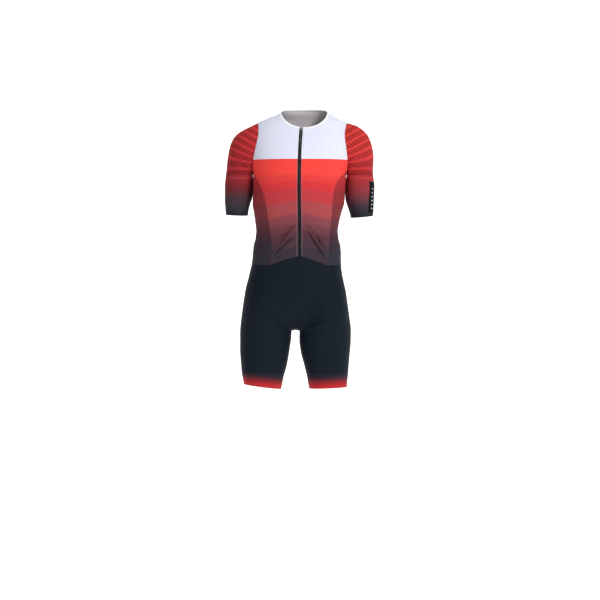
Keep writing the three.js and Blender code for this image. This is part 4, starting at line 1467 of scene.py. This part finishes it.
def stitches(name, rows, thread):
    """One piece of many stitches."""
    vertices, faces, count = [], [], 0
    for points, quads in rows:
        vertices.append(points)
        faces.append(quads + count)
        count += len(points)
    code, painted_lustre, slot = THREADS[thread]
    material = bpy.data.materials.get(f"polyester_thread_{thread}") or thread_material(thread, code, painted_lustre)
    piece = new_object(name, np.concatenate(vertices), np.concatenate(faces).tolist(), [material])
    make_normals_out(piece.data)
    return sew_on(piece, slot)


class SUIT_OT_sewing(bpy.types.Operator):
    """Makes the rows of stitches beside the seams and in the hems"""

    bl_idname = "suit.sewing"
    bl_label = "Sewing"

    def execute(self, context):
        sizes = context.scene.suit_sizes
        rows = {thread: [] for thread in THREADS}
        sewn = [(f"{stem}_{hand}", *rest) for stem, *rest in SEWING for hand in HANDS]
        for node, edges, inset, thread in sewn + BACK_SEWING:
            for edge in edges.split():
                points, out = offset_line(panels()[node], edge, inset)
                rows[thread].append(stitch_row(points, out, sizes.stitch / MM, sizes.thread / MM))
        for thread, made in rows.items():
            stitches(f"stitches_{thread}", made, thread)
        return {"FINISHED"}


def zip_line(across, z):
    x = zip_x(z) + across
    angle = angle_at(x, z)
    return body_point(angle, z), body_normal(angle, z)


ZIP_STEP = 2.5
TAPE_COLUMNS = 7
TAPE_SINK = 0.35
TAPE_THICKNESS = 0.8
COIL_TOP = SLIDER_Z + 1.2
COIL_STEPS = 10
COIL_SIDES = 5
COIL_PAST_MIDDLE = 0.2
COIL_SINK = 0.5
COIL_FIT = 0.998

SLIDER_FACE = -CHAIN_PROUD - SOLID_GAP - SLIDER_PLATE
SLIDER_REAR_FACE = SOLID_CLOTH + SOLID_GAP * 1.5
SLIDER_REAR_INSET = 0.5
PLATE_BEVEL = 0.7
REAR_BEVEL = 0.4
POST_Z = 2.4
POST_GAP = 0.05
POST_INTO_PLATE = 0.5
POST_BEVEL = 0.3
BRIDGE_HALF = 0.9
BRIDGE_THICKNESS = 0.8
BRIDGE_INTO_PLATE = 0.4
BRIDGE_BEVEL = 0.25

PULL_PIN_SEGMENTS = 16
PULL_PIN_INSET = 0.2
PULL_EYE_TOP = 0.6
PULL_EYE_INTO_PLATE = 1
PULL_EYE_BEVEL = 0.35
PULL_BEVEL = 0.45
# The raised field on the tab: its distance from each edge, how far it stands out, and its bevel
FIELD_SIDE = 0.9
FIELD_END = 1.2
FIELD_EYE = 1.6
FIELD_RISE = 0.25
FIELD_INTO_PLATE = 0.4
FIELD_BEVEL = 0.22


class SUIT_OT_zip(bpy.types.Operator):
    """Makes the zip's tapes, its coil, its slider and the pull tab"""

    bl_idname = "suit.zip"
    bl_label = "Zip"

    def execute(self, context):
        tape = tape_material()
        top = front_neck(1)[0, 1]
        z = np.linspace(top, WAIST_ZIP, int((top - WAIST_ZIP) / ZIP_STEP))
        for hand, side in HANDS.items():
            across = np.linspace(side * CHAIN_HALF, side * ZIP_HALF, TAPE_COLUMNS)
            points = np.stack([zip_line(x, z)[0] for x in across], 1)
            panel = Panel(f"zip_tape_{hand}", points, (0, 0, -270))
            panel.surface = panel.points - panel.normals * TAPE_SINK
            piece = shell(panel, TAPE_THICKNESS, [tape])
            sew_on(piece, "zip_tape", panel.node)
        self.coil()
        enamel = enamel_material()
        self.slider(enamel)
        self.pull_tab(enamel)
        return {"FINISHED"}

    def coil(self):
        """Two flattened coils that mesh along the middle."""
        turns = int((COIL_TOP - WAIST_ZIP) / COIL_PITCH)
        turn = np.linspace(0, turns * math.tau, turns * COIL_STEPS + 1)
        reach = (CHAIN_HALF + COIL_PAST_MIDDLE - COIL_WIRE) / 2
        depth = (CHAIN_PROUD + COIL_SINK - 2 * COIL_WIRE) / 2
        spoke = np.arange(COIL_SIDES) * math.tau / COIL_SIDES
        faces = tube_faces(len(turn), COIL_SIDES)
        vertices = []
        for side, phase in ((1, 0), (-1, 0.5)):
            base, out = zip_line(0, COIL_TOP - COIL_PITCH * (turn / math.tau + phase) * COIL_FIT)
            across = side * (CHAIN_HALF - COIL_WIRE - reach + reach * np.cos(turn))
            rise = CHAIN_PROUD - COIL_WIRE - depth + depth * np.sin(turn)
            centre = base + np.array([1.0, 0, 0]) * across[:, None] + out * rise[:, None]
            along = unit(np.gradient(centre, axis=0))
            up = unit(np.array([0, 0, 1.0]) - along * along[:, 2:3])
            aside = np.cross(along, up)
            ring = aside[:, None] * np.cos(spoke)[:, None] + up[:, None] * np.sin(spoke)[:, None]
            vertices.append((centre[:, None] + ring * COIL_WIRE).reshape(-1, 3))
        faces += [[corner + len(vertices[0]) for corner in face] for face in faces]
        piece = new_object("zip_coil", np.concatenate(vertices), faces, [coil_material()])
        make_normals_out(piece.data)
        sew_on(piece, "zip_coil", "zip_chain")

    def slider(self, material):
        """Two plates joined by a post, and a bridge over the front one that holds the tab."""
        face, rear = SLIDER_FACE, SLIDER_REAR_FACE
        half, narrow = SLIDER_HALF, SLIDER_HALF - SLIDER_REAR_INSET
        low, high = -SLIDER_BELOW, SLIDER_ABOVE
        post = CHAIN_HALF - POST_GAP
        arch = face - BRIDGE_RISE
        work = bmesh.new()
        block(work, (-half, face, low), (half, face + SLIDER_PLATE, high), PLATE_BEVEL)
        block(work, (-narrow, rear, low), (narrow, rear + SLIDER_REAR, high), REAR_BEVEL)
        block(work, (-post, face + POST_INTO_PLATE, POST_Z), (post, rear + POST_INTO_PLATE, high), POST_BEVEL)
        parts = [
            (-BRIDGE_REACH, -BRIDGE_REACH + BRIDGE_LEG, face + BRIDGE_INTO_PLATE),
            (BRIDGE_REACH - BRIDGE_LEG, BRIDGE_REACH, face + BRIDGE_INTO_PLATE),
            (-BRIDGE_REACH, BRIDGE_REACH, arch + BRIDGE_THICKNESS),
        ]
        for start, end, back in parts:
            block(work, (-BRIDGE_HALF, arch, start), (BRIDGE_HALF, back, end), BRIDGE_BEVEL)
        sew_on(in_zip_frame("zip_slider_metal", work, material), "zip_metal", "zip_slider")

    def pull_tab(self, material):
        """A plate with an eye, which hangs on the bridge by a pin, and a raised field on the plate."""
        y = SLIDER_FACE - SOLID_GAP * 4 / 3 - PULL_PIN
        z = -BRIDGE_REACH + BRIDGE_LEG + SOLID_GAP * 4 / 3 + PULL_PIN
        near, far = y - PULL_THICKNESS / 2, y + PULL_THICKNESS / 2
        eye, end = z - PULL_EYE_LENGTH, z - PULL_LENGTH
        field = PULL_HALF - FIELD_SIDE
        work = bmesh.new()
        turn = Matrix.Translation((0, y, z)) @ Matrix.Rotation(math.radians(90), 4, "Y")
        bmesh.ops.create_cone(work, cap_ends=True, segments=PULL_PIN_SEGMENTS, radius1=PULL_PIN,
                              radius2=PULL_PIN, depth=2 * PULL_HALF - PULL_PIN_INSET, matrix=turn)
        for low, high in ((-PULL_HALF, -PULL_EYE_HALF), (PULL_EYE_HALF, PULL_HALF)):
            block(work, (low, near, eye - PULL_EYE_INTO_PLATE), (high, far, z + PULL_PIN * PULL_EYE_TOP),
                  PULL_EYE_BEVEL)
        block(work, (-PULL_HALF, near, end), (PULL_HALF, far, eye), PULL_BEVEL)
        block(work, (-field, near - FIELD_RISE, end + FIELD_END),
              (field, near + FIELD_INTO_PLATE, eye - FIELD_EYE), FIELD_BEVEL)
        piece = in_zip_frame("pull_tab_metal", work, material)
        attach(piece, "pull_tab")
        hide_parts("pull_tab")


def block(work, low, high, bevel):
    """A block with rounded edges."""
    size = [h - l for l, h in zip(low, high)]
    middle = [(l + h) / 2 for l, h in zip(low, high)]
    matrix = Matrix.Translation(middle) @ Matrix.Diagonal((*size, 1))
    made = bmesh.ops.create_cube(work, size=1, matrix=matrix)
    edges = list({edge for vertex in made["verts"] for edge in vertex.link_edges})
    offset = min(bevel, min(size) * 0.45)
    bmesh.ops.bevel(work, geom=edges, offset=offset, segments=3, affect="EDGES", profile=0.5)


def in_zip_frame(name, work, material):
    """A piece made about the slider: y goes into the suit and z up along the zip."""
    def at(z):
        return Vector(zip_line(0, np.array(float(z)))[0])

    up = at(SLIDER_Z + SLIDER_BELOW) - at(SLIDER_Z - SLIDER_BELOW)
    up.x = 0
    up.normalize()
    across = Vector((1, 0, 0))
    into = up.cross(across)
    turn = Matrix((across, into, up)).transposed().to_4x4()
    place = Matrix.Scale(MM, 4) @ Matrix.Translation(at(SLIDER_Z)) @ turn
    mesh = bpy.data.meshes.new(name)
    work.to_mesh(mesh)
    work.free()
    mesh.transform(place)
    piece = put_in_scene(name, mesh, [material])
    mesh.set_sharp_from_angle(angle=math.radians(METAL_SHARP))
    return piece


FLOOR_Z = -1.53
SWEEP_RADIUS = 1.6
SWEEP_DEPTH = 3.0
SWEEP_HALF = 9.0
SWEEP_TOP = 7.0
SWEEP_STEPS = 16
# The floor has a painted glow behind the suit, an emission that stands in for light: it rises from one
# distance back to another, where it is full
GLOW_STARTS = -1.4
GLOW_FULL = -0.5
GLOW = 0.7
CAMERA_DISTANCE = 6.0
CAMERA_REACH = 40
CAMERA_Z = -0.6204
PIXEL = 3.3 * MM
FRAME_PIXELS = 600
SENSOR = 36
# Each light: its name, place, size and power
LIGHTS = [
    ("key_light", (2.8, -4.1, 2.0), 1.5, 195),
    ("fill_light", (-3.4, -3.6, 0.6), 2.6, 22),
    ("top_light", (0.2, -0.6, 2.9), 2.4, 25),
]
LIGHTS_AIM = (0, 0, -0.45)
WORLD_STRENGTH = 0.24


class SUIT_OT_stage(bpy.types.Operator):
    """Makes the pale floor and backdrop, the soft lights and the camera"""

    bl_idname = "suit.stage"
    bl_label = "Stage"

    def execute(self, context):
        self.sweep(context)
        for lamp in LIGHTS:
            self.light(*lamp)
        world = bpy.data.worlds.new("studio")
        world.use_nodes = True
        sky = world.node_tree.nodes["Background"].inputs
        sky["Color"].default_value = (1, 1, 1, 1)
        sky["Strength"].default_value = WORLD_STRENGTH
        context.scene.world = world
        context.scene.view_settings.view_transform = "Standard"
        data = bpy.data.cameras.new("camera")
        data.sensor_width = SENSOR
        data.lens = SENSOR * CAMERA_DISTANCE / (FRAME_PIXELS * PIXEL)
        data.clip_end = CAMERA_REACH
        camera = bpy.data.objects.new("camera", data)
        camera.location = (0, -CAMERA_DISTANCE, CAMERA_Z)
        camera.rotation_euler = (math.radians(90), 0, 0)
        context.scene.collection.objects.link(camera)
        context.scene.camera = camera
        return {"FINISHED"}

    def sweep(self, context):
        """A floor that curves up into a backdrop."""
        turn = np.linspace(0, np.pi / 2, SWEEP_STEPS)
        bend = zip(SWEEP_DEPTH + SWEEP_RADIUS * np.sin(turn), SWEEP_RADIUS - SWEEP_RADIUS * np.cos(turn))
        profile = [(-SWEEP_HALF, 0.0), *bend, (SWEEP_DEPTH + SWEEP_RADIUS, SWEEP_TOP)]
        vertices = [(x, y, FLOOR_Z + z) for y, z in profile for x in (-SWEEP_HALF, SWEEP_HALF)]
        faces = [(2 * i, 2 * i + 1, 2 * i + 3, 2 * i + 2) for i in range(len(profile) - 1)]
        mesh = bpy.data.meshes.new("floor")
        mesh.from_pydata(vertices, [], faces)
        # Opal acrylic, cast: an even white, with a painted glow, an emission that stands in for light, under
        # and behind the suit and none in front of it
        material, tree = new_material("acrylic_opal_painted_glow")
        place = add(tree, "TexCoord").outputs["Object"]
        grain = add(tree, "TexNoise", {"Vector": place, "Scale": 3, "Detail": 2})
        base = (*context.scene.suit_colours.backdrop, 1)
        away = add(tree, "SeparateXYZ", {0: place}).outputs["Y"]
        finish_material(tree, {
            "Base Color": add(tree, "Mix", {0: grain, 6: base, 7: (1, 1, 1, 1)}, data_type="RGBA"),
            "Roughness": 0.9,
            "Emission Color": (1, 1, 1, 1),
            "Emission Strength": add(tree, "MapRange", {
                "Value": away, "From Min": GLOW_STARTS, "From Max": GLOW_FULL, "To Max": GLOW}),
        })
        floor = put_in_scene("floor", mesh, [material])

    def light(self, name, place, size, power):
        data = bpy.data.lights.new(name, "AREA")
        data.shape = "DISK"
        data.size = size
        data.energy = power
        lamp = bpy.data.objects.new(name, data)
        lamp.location = place
        aim = Vector(LIGHTS_AIM) - Vector(place)
        lamp.rotation_euler = aim.to_track_quat("-Z", "Y").to_euler()
        bpy.context.scene.collection.objects.link(lamp)


class SUIT_PT_panel(bpy.types.Panel):
    """Lists the steps that build the suit"""

    bl_idname = "SUIT_PT_panel"
    bl_label = "Triathlon Suit"
    bl_space_type = "VIEW_3D"
    bl_region_type = "UI"
    bl_category = "Triathlon Suit"

    def draw(self, context):
        for operator in OPERATORS:
            self.layout.operator(operator.bl_idname)
        for group in (context.scene.suit_sizes, context.scene.suit_colours):
            for name in group.bl_rna.properties.keys():
                if name not in ("rna_type", "name"):
                    self.layout.prop(group, name)


OPERATORS = (
    SUIT_OT_body_cloth, SUIT_OT_sleeves, SUIT_OT_shorts, SUIT_OT_neck_binding, SUIT_OT_zip, SUIT_OT_sewing,
    SUIT_OT_stage,
)
CLASSES = (SuitSizes, SuitColours, *OPERATORS, SUIT_PT_panel)


def register():
    for cls in CLASSES:
        bpy.utils.register_class(cls)
    bpy.types.Scene.suit_sizes = PointerProperty(type=SuitSizes)
    bpy.types.Scene.suit_colours = PointerProperty(type=SuitColours)


def unregister():
    del bpy.types.Scene.suit_colours
    del bpy.types.Scene.suit_sizes
    for cls in reversed(CLASSES):
        bpy.utils.unregister_class(cls)


def main():
    register()
    bpy.ops.suit.stage()
    bpy.ops.suit.zip()
    bpy.ops.suit.neck_binding()
    bpy.ops.suit.body_cloth()
    bpy.ops.suit.sleeves()
    bpy.ops.suit.shorts()
    bpy.ops.suit.sewing()


if __name__ == "__main__":
    main()
